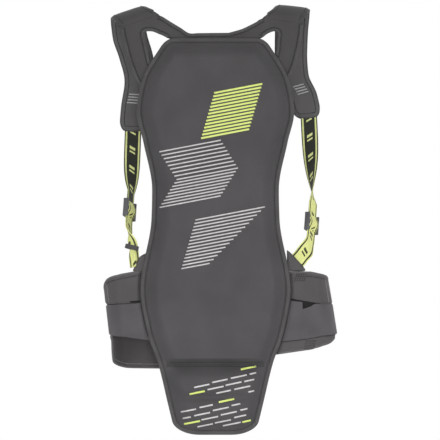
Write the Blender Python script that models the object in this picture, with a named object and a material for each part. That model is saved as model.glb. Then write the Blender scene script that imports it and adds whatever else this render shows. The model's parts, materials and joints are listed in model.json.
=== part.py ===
"""Soft back protector: a moulded foam panel with a flexing tail, a shoulder yoke with
padded straps and webbing, and a waist belt with an elastic band over each wing.

Frame: +Z up, the outer face of the panel towards -Y, the wearer's back on the plane y = 0,
and the origin on that plane, at the middle of the back, BACK_Z above the tail's lower edge.
The lengths below are millimetres, heights are above that edge, and left is -X, as the outer
face is seen.
"""
import math

import bmesh
import bpy
from mathutils import Matrix, Vector

MM = 0.001
GAP = 0.3
BACK_Z = 350.0

# Panel edge: height above the tail's lower edge and half width of the bound edge
PANEL_TOP = 595.0
FOLD_Z = 107.0
HIP_Z = 219.0
WAIST_Z = 367.0
CHEST_Z = 484.0
TAIL_HALF = 60.0
FOLD_HALF = 86.0
HIP_HALF = 112.5
WAIST_HALF = 95.0
CHEST_HALF = 118.0
TOP_HALF = 74.0
TOP_CORNER = 12.0
TAIL_CORNER_WIDE = 36.0
TAIL_CORNER_HIGH = 20.0
EDGE_CURVE = (
    (0.0, TAIL_HALF),
    (45.0, TAIL_HALF + 11.0),
    (FOLD_Z, FOLD_HALF),
    (FOLD_Z + 43.0, FOLD_HALF + 15.0),
    (HIP_Z, HIP_HALF),
    (WAIST_Z - 43.0, WAIST_HALF + 1.0),
    (WAIST_Z, WAIST_HALF),
    (CHEST_Z - 46.0, CHEST_HALF - 10.0),
    (CHEST_Z, CHEST_HALF),
    (CHEST_Z + 45.0, CHEST_HALF - 7.0),
    (PANEL_TOP, TOP_HALF),
)

# Panel layers, from the wearer's side out
LINER_THICK = 1.5
CORE_RIM = 1.9
COVER_THICK = 2.0
CROWN = 15.0
CENTRE_RISE = 2.5
BINDING_WALL = 2.4
BINDING_LIP = 7.0
SHOULDER_START = BINDING_LIP + 2.0
SHOULDER_RUN = 18.0
CORNER_SHARE = 0.9
BINDING_LIP_THICK = 1.2
BINDING_BACK = 0.2
FOLD_CLEAR = 1.7
FOLD_SLOPE = 16.0
FOLD_AXIS_Y = -LINER_THICK / 2

# Shoulder yoke and straps
YOKE_THICK = 3.5
YOKE_BACK = 0.5
PIPING_RADIUS = 1.5
PIPING_CLEAR = 0.5
STRAP_THICK = 8.0
STRAP_SEAM_Y = -(YOKE_BACK + YOKE_THICK / 2)
STRAP_SWELL = 40.0
STRAP_END_ROUND = 15.0
STRAP_END_SHARE = 0.72

# Webbing, ladder-locks and keeper
WEBBING_WIDTH = 25.0
WEBBING_THICK = 1.6
TWIST_SHARE = 0.42
BEND_ROWS = 33
BUCKLE_CLEAR = 0.6
BUCKLE_RAIL = 3.4
BUCKLE_HIGH = 28.0
BUCKLE_BAR = 5.0
BUCKLE_BAR_THICK = 2.2
KEEPER_HIGH = 9.0
KEEPER_CLEAR = 0.9
KEEPER_THICK = 1.4
TAB_THICK = 2.0
TAB_BACK_Y = -1.0
WEBBING_SEAT_Y = TAB_BACK_Y + GAP + WEBBING_THICK / 2 + 0.1

# Belt wings and elastic bands
WING_THICK = 3.0
WING_BACK = 0.5
BAND_THICK = 2.0
BAND_STANDOFF = 2.0
BELT_DEPTH = 106.0
FOLD_REACH = 22.0
FLAP_ROUND = 18.0
FLAP_STEP = 5.6
PATCH_THICK = 0.8
PATCH_LONG = 24.0
PATCH_EDGE = 8.0
BAND_Z = 143.0
BELT_HIGH = 90.0
HINGE_CLEAR = 0.6

FABRIC = (0.085, 0.08, 0.083, 1.0)
DARK_FABRIC = (0.055, 0.052, 0.054, 1.0)
ELASTIC = (0.1, 0.095, 0.1, 1.0)
LINER_GREY = (0.11, 0.11, 0.11, 1.0)
FOAM = (0.32, 0.34, 0.3, 1.0)
WEBBING_FACE = (0.03, 0.03, 0.032, 1.0)
WEBBING_LIME = (0.72, 0.87, 0.14, 1.0)
BUCKLE_GREY = (0.16, 0.16, 0.17, 1.0)

# Each side's own measures; x values count outwards from the panel's centre line,
# and the heights of the yoke and the strap are above the panel's top
LEFT = {
    "name": "left",
    "sign": -1.0,
    "yoke_top": ((142.0, 14.0), (84.0, 34.0)),
    "yoke_neck": ((66.0, 23.5), (52.7, 15.5), (39.3, 6.8)),
    "yoke_leg_low": -66.0,
    "yoke_notch": ((107.6, 7.5), (103.6, 9.5), (94.2, 9.5)),
    "yoke_notch_low": -39.0,
    # x, y, z, width and tilt in degrees along the strap, from the yoke to the pad's end
    "strap": (
        (113.2, STRAP_SEAM_Y, 25.0, 61.0, 19.0),
        (116.0, STRAP_SEAM_Y, 29.5, 59.5, 19.0),
        (124.5, 9.0, 38.0, 56.0, 19.0),
        (131.5, 32.0, 41.0, 52.0, 18.4),
        (132.5, 60.0, 34.0, 50.0, 16.0),
        (130.0, 77.0, 9.0, 49.0, 12.0),
        (120.5, 83.0, -25.0, 48.0, 6.0),
        (113.4, 83.0, -61.0, 46.0, 0.0),
        (121.0, 79.0, -102.0, 41.0, -4.0),
        (125.5, 74.0, -138.0, 38.0, 0.0),
    ),
    # x, y, z and twist in degrees; the second and third points set the buckle's line
    "webbing": (
        (125.0, 72.0, PANEL_TOP - 143.0, 0.0),
        (127.5, 41.0, 364.0, 68.0),
        (131.0, 24.0, 311.0, 68.0),
        (123.5, WEBBING_SEAT_Y, 250.0, 180.0),
    ),
    "webbing_end_way": (-0.04, -0.06, -1.0),
    "keeper_share": 0.5,
    "tab": ((276.0, 247.0), 135.0),
    "hinge_x": 128.0,
    "root": (246.0, 136.0),
    "fold_top": 168.0,
    "fold_low": 153.0,
    "front_step": FLAP_STEP,
    "flap_end": -45.0,
    "wing_top": ((0.0, 242.0), (1.5, 231.0), (3.0, 222.0)),
    "wing_low": ((0.0, 138.0), (1.35, 139.0), (2.05, 102.0), (3.0, 97.0)),
    "band_top": ((0.0, 197.5), (1.5, 193.0), (3.0, 190.0)),
    "band_low": ((0.0, 142.5), (1.5, 148.0), (3.0, 144.0)),
    "band_end": 60.0,
}
RIGHT = {
    "name": "right",
    "sign": 1.0,
    "yoke_top": ((131.0, 21.0), (70.0, 28.0)),
    "yoke_neck": ((61.0, 24.0), (50.0, 18.3), (39.6, 13.5), (20.0, 7.8)),
    "yoke_leg_low": -58.0,
    "yoke_notch": ((93.4, 8.6), (89.0, 10.0), (85.4, 9.4)),
    "yoke_notch_low": -26.0,
    "strap": (
        (100.6, STRAP_SEAM_Y, 25.5, 61.0, 6.5),
        (103.0, STRAP_SEAM_Y, 31.0, 58.5, 6.5),
        (110.5, 9.0, 42.5, 54.0, 6.5),
        (116.3, 32.0, 46.0, 49.0, 6.2),
        (116.5, 60.0, 39.0, 48.0, 5.0),
        (115.0, 77.0, 13.0, 47.0, 2.0),
        (114.3, 83.0, -21.0, 46.0, 0.0),
        (117.5, 83.0, -55.0, 44.0, -8.0),
        (131.0, 79.0, -87.0, 41.0, -14.0),
        (137.5, 74.0, -118.0, 39.0, -4.0),
    ),
    "webbing": (
        (138.0, 72.0, PANEL_TOP - 123.0, 0.0),
        (147.0, 36.0, 347.0, 118.0),
        (142.5, 18.5, 287.0, 118.0),
        (124.0, WEBBING_SEAT_Y + 0.3, 256.0, 180.0),
    ),
    "webbing_end_way": (-0.52, 0.0, -0.85),
    "keeper_share": None,
    "tab": ((279.0, 248.5), 136.0),
    "hinge_x": 142.0,
    "root": (247.5, 121.0),
    "fold_top": 169.5,
    "fold_low": 179.5,
    "front_step": 0.0,
    "flap_end": 3.0,
    "wing_top": ((0.0, 243.0), (1.5, 236.0), (3.0, 226.0)),
    "wing_low": ((0.0, 134.0), (1.4, 144.0), (2.2, 140.0), (3.0, 136.0)),
    "band_top": ((0.0, 189.5), (1.5, 187.0), (3.0, 184.0)),
    "band_low": ((0.0, 139.5), (1.45, 149.5), (3.0, 144.0)),
    "band_end": 90.0,
}
SIDES = (LEFT, RIGHT)

RIM = LINER_THICK + GAP + CORE_RIM + GAP + COVER_THICK
LAYER_INSET = BINDING_WALL + GAP
BINDING_FRONT = RIM + GAP + BINDING_LIP_THICK
WING_MID_Y = -(WING_BACK + WING_THICK / 2)
BAND_OFFSET = WING_THICK / 2 + BAND_STANDOFF + BAND_THICK / 2
BELT_AXIS_Y = WING_MID_Y - BAND_OFFSET - BAND_THICK / 2 - HINGE_CLEAR
FLAT = ((-1, -1), (1, -1), (1, 1), (-1, 1))
PADDED = (
    (-1.0, -0.35), (-0.8, -0.8), (0.0, -1.0), (0.8, -0.8), (1.0, -0.35),
    (1.0, 0.35), (0.8, 0.8), (0.0, 1.0), (-0.8, 0.8), (-1.0, 0.35),
)


def in_metres(point):
    """A place in the frame, from millimetres with heights above the tail's lower edge."""
    x, y, z = point
    return Vector((x, y, z - BACK_Z)) * MM


def clear_scene():
    for old in list(bpy.data.objects):
        bpy.data.objects.remove(old, do_unlink=True)


def material(name, colour, roughness):
    made = bpy.data.materials.new(name)
    made.use_nodes = True
    shader = made.node_tree.nodes["Principled BSDF"]
    shader.inputs["Base Color"].default_value = colour
    shader.inputs["Roughness"].default_value = roughness
    shader.inputs["Metallic"].default_value = 0.0
    return made


def solid(name, points, faces, look):
    """A closed mesh object from points in millimetres, with its faces turned outwards."""
    mesh = bpy.data.meshes.new(name)
    mesh.from_pydata([in_metres(point) for point in points], [], faces)
    shape = bmesh.new()
    shape.from_mesh(mesh)
    bmesh.ops.recalc_face_normals(shape, faces=shape.faces)
    shape.to_mesh(mesh)
    shape.free()
    mesh.materials.append(look)
    made = bpy.data.objects.new(name, mesh)
    bpy.context.scene.collection.objects.link(made)
    return made


def tube(name, points, radius, look):
    """A round piping along points in millimetres, with closed ends."""
    curve = bpy.data.curves.new(name, "CURVE")
    curve.dimensions = "3D"
    curve.bevel_depth = radius * MM
    curve.bevel_resolution = 1
    curve.use_fill_caps = True
    line = curve.splines.new("POLY")
    line.points.add(len(points) - 1)
    for target, point in zip(line.points, points):
        target.co = (*in_metres(point), 1.0)
    curve.materials.append(look)
    made = bpy.data.objects.new(name, curve)
    bpy.context.scene.collection.objects.link(made)
    return made


def set_origin(made, point):
    """Put the object's origin on its joint's axis, with the shape left where it is."""
    place = in_metres(point)
    made.data.transform(Matrix.Translation(-place))
    made.location = place


def smooth(points, at):
    """Height of a smooth curve through (station, value) pairs, with no overshoot."""
    last = len(points) - 2
    spans = [points[i + 1][0] - points[i][0] for i in range(last + 1)]
    rises = [(points[i + 1][1] - points[i][1]) / spans[i] for i in range(last + 1)]

    def slope(i):
        if i == 0:
            return rises[0]
        if i == last + 1:
            return rises[last]
        if rises[i - 1] * rises[i] <= 0:
            return 0.0
        return 2 * rises[i - 1] * rises[i] / (rises[i - 1] + rises[i])

    i = 0
    while i < last and at > points[i + 1][0]:
        i += 1
    t = (at - points[i][0]) / spans[i]
    t = min(max(t, 0.0), 1.0)
    rise = points[i + 1][1] - points[i][1]
    bend_in = slope(i) * spans[i]
    bend_out = slope(i + 1) * spans[i]
    return (
        points[i][1]
        + rise * (3 * t * t - 2 * t ** 3)
        + bend_in * (t - 2 * t * t + t ** 3)
        + bend_out * (t ** 3 - t * t)
    )


def ease(value, start, end):
    t = min(max((value - start) / (end - start), 0.0), 1.0)
    return t * t * (3 - 2 * t)


def spread(start, end, count):
    return [start + (end - start) * i / (count - 1) for i in range(count)]


# Panel outline

def edge_half(z):
    return smooth(EDGE_CURVE, z)


def edge_normal(z):
    step = 1.0
    lean = (edge_half(z + step) - edge_half(z - step)) / (2 * step)
    return Vector((1.0, 0.0, -lean)).normalized()


def panel_rows(heights, inset):
    """(half width, z) of each row of the panel, drawn in by inset along the edge normal."""
    rows = []
    for z in heights:
        rows.append((edge_half(z) - inset / edge_normal(z).x, z))
    return rows


def corner_rows(z_end, wide, high, inset, count):
    """Rows round the corner at z_end, from the side to the level end of the panel."""
    up = 1.0 if z_end > FOLD_Z else -1.0
    rows = []
    for i in range(1, count + 1):
        turn = math.pi / 2 * i / count
        z = z_end - up * high * (1 - math.sin(turn))
        half = edge_half(z) - wide * (1 - math.cos(turn))
        across = Vector((math.cos(turn) * high, 0.0, up * math.sin(turn) * wide)).normalized()
        rows.append((half - inset * across.x, z - inset * across.z))
    return rows


def main_rows(inset, clear):
    heights = spread(FOLD_Z + clear, FOLD_Z + clear + FOLD_SLOPE, 5)
    heights += spread(heights[-1], PANEL_TOP - SHOULDER_START - SHOULDER_RUN, 18)[1:]
    heights += spread(heights[-1], PANEL_TOP - TOP_CORNER, 4)[1:]
    return panel_rows(heights, inset) + corner_rows(PANEL_TOP, TOP_CORNER, TOP_CORNER, inset, 4)


def tail_rows(inset, clear):
    heights = spread(FOLD_Z - clear, FOLD_Z - clear - FOLD_SLOPE, 5)
    heights += spread(heights[-1], TAIL_CORNER_HIGH, 6)[1:]
    return panel_rows(heights, inset) + corner_rows(0.0, TAIL_CORNER_WIDE, TAIL_CORNER_HIGH, inset, 6)


def swell(from_edge, from_end, from_fold, across):
    """Height of the cover above its flat rim: shoulders all round and a dip at the fold."""
    rise = CROWN + CENTRE_RISE * (1 - across * across)
    rise *= ease(from_edge - SHOULDER_START, 0.0, SHOULDER_RUN)
    rise *= ease(from_end - SHOULDER_START, 0.0, SHOULDER_RUN)
    return rise * ease(from_fold, 0.0, FOLD_SLOPE)


def grid_points(rows, end_z, base):
    """Front points of a panel layer, its height being base plus the swell at each point."""
    insets = [0.0] + spread(SHOULDER_START, SHOULDER_START + SHOULDER_RUN, 5)
    grid = []
    for half, z in rows:
        full = half + LAYER_INSET
        room = min(1.0, CORNER_SHARE * half / insets[-1])
        shifts = [half] + [full - inset * room for inset in insets[1:]]
        shifts += [shifts[-1] * 0.5, 0.0]
        line = []
        for x in [-shift for shift in shifts] + shifts[-2::-1]:
            height = base + swell(full - abs(x), abs(end_z - z), abs(z - FOLD_Z) - FOLD_CLEAR, x / half)
            line.append((x, -height, z))
        grid.append(line)
    return grid


def sheet_faces(rows, columns, start):
    """Triangles over a grid of points, all split the same way, so that layers stay parallel."""
    faces = []
    for r in range(rows - 1):
        for c in range(columns - 1):
            a = start + r * columns + c
            b = a + columns
            faces += [(a, a + 1, b + 1), (a, b + 1, b)]
    return faces


def rim_loop(rows, columns):
    """Indices round the edge of a grid, once."""
    loop = list(range(columns))
    loop += [r * columns + columns - 1 for r in range(1, rows)]
    loop += [(rows - 1) * columns + c for c in range(columns - 2, -1, -1)]
    loop += [r * columns for r in range(rows - 2, 0, -1)]
    return loop


def layer(name, rows, end_z, base, back, look):
    """One panel layer: a swelling front, and a back that is flat or a set depth behind it."""
    front = grid_points(rows, end_z, base)
    columns = len(front[0])
    points = [point for line in front for point in line]
    count = len(points)
    loop = rim_loop(len(rows), columns)
    faces = sheet_faces(len(rows), columns, 0)
    if back is None:
        points += [(x, y + COVER_THICK, z) for x, y, z in points]
        faces += sheet_faces(len(rows), columns, count)
        partner = [count + index for index in loop]
    else:
        points += [(points[index][0], -back, points[index][2]) for index in loop]
        partner = list(range(count, count + len(loop)))
        faces.append(partner)
    for i in range(len(loop)):
        after = (i + 1) % len(loop)
        faces.append((loop[i], loop[after], partner[after], partner[i]))
    made = solid(name, points, faces, look)
    made.data.shade_smooth()
    made.data.set_sharp_from_angle(angle=math.radians(50))
    return made


def plate(name, outline, y_front, y_back, look):
    """A flat piece with an (x, z) outline."""
    count = len(outline)
    points = [(x, y_front, z) for x, z in outline] + [(x, y_back, z) for x, z in outline]
    faces = [tuple(range(count)), tuple(range(2 * count - 1, count - 1, -1))]
    for i in range(count):
        after = (i + 1) % count
        faces.append((i, count + i, count + after, after))
    return solid(name, points, faces, look)


def outline_of(rows):
    return [(half, z) for half, z in rows] + [(-half, z) for half, z in rows[::-1]]


def binding(name, make_rows, look):
    """Edge tape: a wall round the layers and a lip over the cover's rim."""
    outer = outline_of(make_rows(0.0, FOLD_CLEAR))
    wall = outline_of(make_rows(BINDING_WALL, FOLD_CLEAR))
    lip = outline_of(make_rows(BINDING_LIP, FOLD_CLEAR))
    front = -BINDING_FRONT
    under = front + BINDING_LIP_THICK
    points = []
    for a, b, c in zip(outer, wall, lip):
        points += [
            (a[0], -BINDING_BACK, a[1]), (a[0], front, a[1]), (c[0], front, c[1]),
            (c[0], under, c[1]), (b[0], under, b[1]), (b[0], -BINDING_BACK, b[1]),
        ]
    return strip(name, points, 6, look)


def strip(name, points, sides, look, twists=False):
    """A closed bar from consecutive rings of points; one that twists has its two faces split alike."""
    count = len(points) // sides
    faces = [tuple(range(sides)), tuple(range((count - 1) * sides, count * sides))]
    for r in range(count - 1):
        for i in range(sides):
            a = r * sides + i
            b = r * sides + (i + 1) % sides
            if not twists:
                faces.append((a, b, b + sides, a + sides))
            elif i < sides / 2:
                faces += [(a, b, b + sides), (a, b + sides, a + sides)]
            else:
                faces += [(a, b, a + sides), (b, b + sides, a + sides)]
    return solid(name, points, faces, look)


def build_panel(looks):
    parts = (("main", main_rows, PANEL_TOP), ("tail", tail_rows, 0.0))
    axis = (0.0, FOLD_AXIS_Y, FOLD_Z)
    for name, make_rows, end_z in parts:
        rows = make_rows(LAYER_INSET, FOLD_CLEAR)
        hinged = outline_of(make_rows(LAYER_INSET, GAP / 2))
        made = [
            plate(name + "_liner", hinged, -LINER_THICK, 0.0, looks["liner"]),
            layer(name + "_core", rows, end_z, RIM - COVER_THICK - GAP, LINER_THICK + GAP, looks["foam"]),
            layer(name + "_cover", rows, end_z, RIM, None, looks["fabric"]),
            binding(name + "_binding", make_rows, looks["dark"]),
        ]
        if name == "tail":
            for piece in made:
                set_origin(piece, axis)


# Yoke and shoulder straps

def edge_run(sign, z_start, z_end, count):
    """Points just outside the bound edge between two heights."""
    run = []
    for z in spread(z_start, z_end, count):
        run.append((sign * (edge_half(z) + GAP / edge_normal(z).x), z))
    return run


def corner_run(sign, count):
    run = corner_rows(PANEL_TOP, TOP_CORNER, TOP_CORNER, -GAP, count)
    return [(sign * half, z) for half, z in run]


def from_top(sign, points):
    """Places on one side, from points whose heights are above the panel's top."""
    return [(sign * x, PANEL_TOP + z) for x, z in points]


def yoke_side(side):
    """Half of the yoke's outline, from the neck out to the leg and back to the panel's top."""
    sign = side["sign"]
    outer, inner = side["yoke_top"]
    tops = from_top(sign, (inner, outer))
    neck = from_top(sign, side["yoke_neck"])[::-1]
    leg_out = edge_run(sign, PANEL_TOP + side["yoke_leg_low"], PANEL_TOP + side["yoke_notch_low"], 4)
    notch = from_top(sign, side["yoke_notch"])
    return neck + tops + leg_out + notch + corner_run(sign, 4)[1:]


def build_yoke(looks):
    right = yoke_side(RIGHT)
    left = yoke_side(LEFT)
    outline = right + left[::-1]
    front = -(YOKE_BACK + YOKE_THICK)
    plate("yoke", outline, front, -YOKE_BACK, looks["fabric"])
    lift = PIPING_RADIUS + PIPING_CLEAR
    middle = -(YOKE_BACK + YOKE_THICK / 2)
    edge = from_top(LEFT["sign"], (LEFT["yoke_top"][1], *LEFT["yoke_neck"]))
    edge += from_top(RIGHT["sign"], (RIGHT["yoke_top"][1], *RIGHT["yoke_neck"]))[::-1]
    points = []
    for i, (x, z) in enumerate(edge):
        before = edge[max(i - 1, 0)]
        after = edge[min(i + 1, len(edge) - 1)]
        across = Vector((before[1] - after[1], 0.0, after[0] - before[0])).normalized()
        points.append((x + across.x * lift, middle, z + across.z * lift))
    tube("neck_binding", points[1:-1], PIPING_RADIUS, looks["dark"])


def path_values(stations, count):
    """Samples along stations of any length, spaced by the distance between their places."""
    reach = [0.0]
    for a, b in zip(stations, stations[1:]):
        reach.append(reach[-1] + (Vector(b[:3]) - Vector(a[:3])).length)
    samples = []
    for at in spread(0.0, reach[-1], count):
        samples.append([
            smooth(list(zip(reach, [station[i] for station in stations])), at)
            for i in range(len(stations[0]))
        ])
    return samples, reach[-1]


def strap_sections(side):
    """(centre, side vector, width, thickness) along the strap, with its end rounded off."""
    samples, length = path_values(side["strap"], 30)
    sign = side["sign"]
    sections = []
    for i, (x, y, z, width, tilt) in enumerate(samples):
        left = length * (1 - i / (len(samples) - 1))
        turn = max(0.0, 1 - left / STRAP_END_ROUND)
        width *= 1 - (1 - STRAP_END_SHARE) * (1 - math.sqrt(1 - turn * turn))
        lean = math.radians(tilt)
        across = Vector((sign * math.cos(lean), 0.0, -math.sin(lean)))
        swell_out = ease(length - left, 0.0, STRAP_SWELL)
        thick = YOKE_THICK + (STRAP_THICK - YOKE_THICK) * swell_out
        sections.append((Vector((sign * x, y, PANEL_TOP + z)), across, width, thick))
    return sections


def sweep(name, sections, profile, look):
    """A bar through (centre, side vector, width, thickness) sections."""
    points = []
    for i, (centre, across, width, thick) in enumerate(sections):
        before = sections[max(i - 1, 0)][0]
        after = sections[min(i + 1, len(sections) - 1)][0]
        face = across.cross(after - before).normalized()
        for u, v in profile:
            points.append(centre + across * (u * width / 2) + face * (v * thick / 2))
    return strip(name, points, len(profile), look, twists=True)


def build_straps(looks):
    for side in SIDES:
        sections = strap_sections(side)
        made = sweep(side["name"] + "_strap_pad", sections, PADDED, looks["fabric"])
        made.data.shade_smooth()
        made.data.set_sharp_from_angle(angle=math.radians(50))
        outer = strap_edge(sections, 1.0)
        inner = strap_edge(sections, -1.0)
        tube(side["name"] + "_strap_binding", outer + inner[::-1], PIPING_RADIUS, looks["dark"])


def strap_edge(sections, hand):
    """The piping's run just outside one edge of a strap, and on past the pad's end."""
    clear = PIPING_RADIUS + PIPING_CLEAR
    edge = [centre + across * (hand * width / 2) for centre, across, width, thick in sections]
    run = []
    for i in range(2, len(edge)):
        ahead = edge[min(i + 1, len(edge) - 1)] - edge[i - 1]
        face = sections[i][1].cross(ahead)
        off = ahead.cross(face).normalized()
        run.append(edge[i] + off * (clear * hand))
    end = (sections[-1][0] - sections[-2][0]).normalized() * clear
    return run + [edge[-1] + end]


# Webbing and ladder-locks

def webbing_line(side):
    sign = side["sign"]
    return [Vector((sign * x, y, z)) for x, y, z, twist in side["webbing"]]


def twisted(along, sign, degrees):
    """The webbing's width direction after a twist about its own run."""
    flat = Vector((sign, 0.0, 0.0))
    flat = (flat - along * flat.dot(along)).normalized()
    return Matrix.Rotation(math.radians(degrees) * sign, 3, along) @ flat


def webbing_sections(side, stations, count):
    samples, length = path_values(stations, count)
    sign = side["sign"]
    places = [Vector((sign * x, y, z)) for x, y, z, twist in samples]
    return tape_sections(sign, places, [twist for x, y, z, twist in samples])


def tape_sections(sign, places, twists):
    sections = []
    for i, place in enumerate(places):
        along = (places[min(i + 1, len(places) - 1)] - places[max(i - 1, 0)]).normalized()
        sections.append((place, twisted(along, sign, twists[i]), WEBBING_WIDTH, WEBBING_THICK))
    return sections


def webbing_bend(side, count):
    """The webbing's run from the buckle's line to its sewn end, without a sharp bend."""
    line_top, line_low, end = side["webbing"][1:]
    start = Vector(line_low[:3])
    stop = Vector(end[:3])
    reach = (stop - start).length
    leave = (start - Vector(line_top[:3])).normalized() * reach
    arrive = Vector(side["webbing_end_way"]).normalized() * reach
    places = []
    twists = []
    for t in spread(0.0, 1.0, count):
        turn = t * t * (3 - 2 * t)
        place = start * (1 - turn) + stop * turn
        place += leave * (t * (1 - t) ** 2) - arrive * (t * t * (1 - t))
        places.append(Vector((side["sign"] * place.x, place.y, place.z)))
        twists.append(line_low[3] + (end[3] - line_low[3]) * ease(t, 0.0, TWIST_SHARE))
    return tape_sections(side["sign"], places, twists)


def box(name, frame, spans, look):
    """A block given by (low, high) spans across, along and off the face of a frame."""
    centre, across, along, face = frame
    corners = [
        centre + across * u + along * v + face * w
        for u in spans[0] for v in spans[1] for w in spans[2]
    ]
    quads = ((0, 1, 3, 2), (4, 6, 7, 5), (0, 4, 5, 1), (2, 3, 7, 6), (0, 2, 6, 4), (1, 5, 7, 3))
    return solid(name, corners, quads, look)


def cut(target, cutter):
    cutter.hide_render = True
    cutter.display_type = "WIRE"
    change = target.modifiers.new(cutter.name, "BOOLEAN")
    change.operation = "DIFFERENCE"
    change.object = cutter


def buckle(name, frame, look):
    """Ladder-lock: two rails, a bar over the webbing at each end and one under its middle."""
    inner = WEBBING_WIDTH / 2 + BUCKLE_CLEAR
    rise = WEBBING_THICK / 2 + BUCKLE_CLEAR
    deep = rise + BUCKLE_BAR_THICK
    end = BUCKLE_HIGH / 2
    past = BUCKLE_BAR
    wide = inner + BUCKLE_RAIL
    made = box(name, frame, ((-wide, wide), (-end, end), (-deep, deep)), look)
    window = end - BUCKLE_BAR
    slots = (
        ("way", (-end - past, end + past), (-rise, rise)),
        ("front", (-window, window), (0.0, deep + past)),
        ("back_up", (BUCKLE_BAR / 2, end + past), (-deep - past, 0.0)),
        ("back_down", (-end - past, -BUCKLE_BAR / 2), (-deep - past, 0.0)),
    )
    for label, span, depth in slots:
        cut(made, box(name + "_" + label, frame, ((-inner, inner), span, depth), look))
    return made


def keeper(name, frame, look):
    """A flat ring of tape round the webbing."""
    inner = WEBBING_WIDTH / 2 + KEEPER_CLEAR
    rise = WEBBING_THICK / 2 + KEEPER_CLEAR
    wide = inner + KEEPER_THICK
    deep = rise + KEEPER_THICK
    high = KEEPER_HIGH / 2
    made = box(name, frame, ((-wide, wide), (-high, high), (-deep, deep)), look)
    way = ((-inner, inner), (-KEEPER_HIGH, KEEPER_HIGH), (-rise, rise))
    cut(made, box(name + "_way", frame, way, look))


def build_webbing(looks):
    for side in SIDES:
        name = side["name"]
        top, line_top, line_low = side["webbing"][:3]
        middle = [(a + b) / 2 for a, b in zip(line_top, line_low)]
        upper = webbing_sections(side, (top, line_top), 14)
        upper = upper[:-1] + webbing_sections(side, (line_top, middle), 2)
        lower = webbing_sections(side, (middle, line_low), 2)
        way = (lower[1][0] - lower[0][0]).normalized()
        lower += webbing_bend(side, BEND_ROWS)[1:]
        lower[0] = (lower[0][0] + way * GAP, *lower[0][1:])
        sweep(name + "_upper_webbing", upper, FLAT, looks["webbing"])
        sweep(name + "_lower_webbing", lower, FLAT, looks["lime"])
        places = webbing_line(side)
        along = (places[1] - places[2]).normalized()
        across = twisted(-along, side["sign"], line_top[3])
        centre = (places[1] + places[2]) / 2
        frame = (centre, across, along, across.cross(along).normalized())
        set_origin(buckle(name + "_buckle", frame, looks["buckle"]), centre)
        build_tab(side, looks)
        if side["keeper_share"] is not None:
            at = 1 + round(side["keeper_share"] * (BEND_ROWS - 1))
            run = (lower[at - 1][0] - lower[at + 1][0]).normalized()
            across = lower[at][1]
            ring = (lower[at][0], across, run, across.cross(run).normalized())
            keeper(name + "_keeper", ring, looks["dark"])


def build_tab(side, looks):
    """The tab sewn to the panel's edge that takes the webbing's lower end."""
    (high, low), reach = side["tab"]
    sign = side["sign"]
    outline = edge_run(sign, high, low, 4) + [(sign * reach, low)]
    plate(side["name"] + "_anchor_tab", outline, TAB_BACK_Y - TAB_THICK, TAB_BACK_Y, looks["dark"])


# Belt wings and elastic bands

def belt_place(side, turn, z, offset):
    """Plan point of the belt at a turn: 0 to 1 behind, 1 to 2 round the side, 2 to 3 in front."""
    share = (z - BAND_Z) / BELT_HIGH
    reach = side["fold_low"] + (side["fold_top"] - side["fold_low"]) * share
    front = WING_MID_Y + BELT_DEPTH + side["front_step"]
    start = reach - FOLD_REACH
    deep = (front - WING_MID_Y) / 2
    if turn <= 1:
        x = side["hinge_x"] + HINGE_CLEAR + (start - side["hinge_x"] - HINGE_CLEAR) * turn
        y = WING_MID_Y - offset
    elif turn <= 2:
        angle = math.pi * (turn - 1.5)
        x = start + (FOLD_REACH + offset) * math.cos(angle)
        y = WING_MID_Y + deep + (deep + offset) * math.sin(angle)
    else:
        x = start + (side["flap_end"] - start) * (turn - 2)
        y = front + offset
    return side["sign"] * x, y


def flap_turn(side, x):
    """The turn at which the front stretch reaches x, counted outwards from the centre."""
    start = (side["fold_top"] + side["fold_low"]) / 2 - FOLD_REACH
    return 2 + (start - x) / (start - side["flap_end"])


def belt_turns(side, end_x):
    last = flap_turn(side, end_x)
    round_start = flap_turn(side, end_x + FLAP_ROUND)
    return spread(0.0, 1.0, 3)[:-1] + spread(1.0, 2.0, 13)[:-1] + spread(2.0, round_start, 6), last


def slant(side, curve, turn):
    """How much longer a slanting edge is than its run along the belt."""
    step = 0.02
    rise = smooth(curve, turn + step) - smooth(curve, turn - step)
    x0, y0 = belt_place(side, turn - step, smooth(curve, turn), 0.0)
    x1, y1 = belt_place(side, turn + step, smooth(curve, turn), 0.0)
    run = math.hypot(x1 - x0, y1 - y0)
    return math.hypot(rise, run) / run


def belt_outline(side, top, low, end_x, grow):
    """(turn, top z, low z) along a belt piece, with round corners at its free end."""
    turns, last = belt_turns(side, end_x)
    rows = []
    for turn in turns:
        over = smooth(top, turn) + grow * slant(side, top, turn)
        under = smooth(low, turn) - grow * slant(side, low, turn)
        rows.append((turn, over, under))
    scale = (last - turns[-1]) / FLAP_ROUND
    for i in range(1, 6):
        angle = math.pi / 2 * i / 5
        turn = turns[-1] + (FLAP_ROUND + grow) * math.sin(angle) * scale
        drop = (FLAP_ROUND + grow) * (1 - math.cos(angle))
        rows.append((turn, smooth(top, turn) + grow - drop, smooth(low, turn) - grow + drop))
    return rows


def belt_piece(name, side, rows, offset, thick, look):
    points = []
    for turn, top, low in rows:
        for z, depth in ((top, offset + thick / 2), (low, offset + thick / 2),
                         (low, offset - thick / 2), (top, offset - thick / 2)):
            x, y = belt_place(side, turn, z, depth)
            points.append((x, y, z))
    return strip(name, points, 4, look)


def belt_root(name, side, sewn, fold, offset, thick, look):
    """The strip from its (top, low) heights on the panel's edge to those on the fold line."""
    sign = side["sign"]
    outline = edge_run(sign, *sewn, 8)
    end = sign * (side["hinge_x"] - GAP / 2)
    outline += [(end, fold[1]), (end, fold[0])]
    middle = WING_MID_Y - offset
    plate(name, outline, middle - thick / 2, middle + thick / 2, look)


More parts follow.
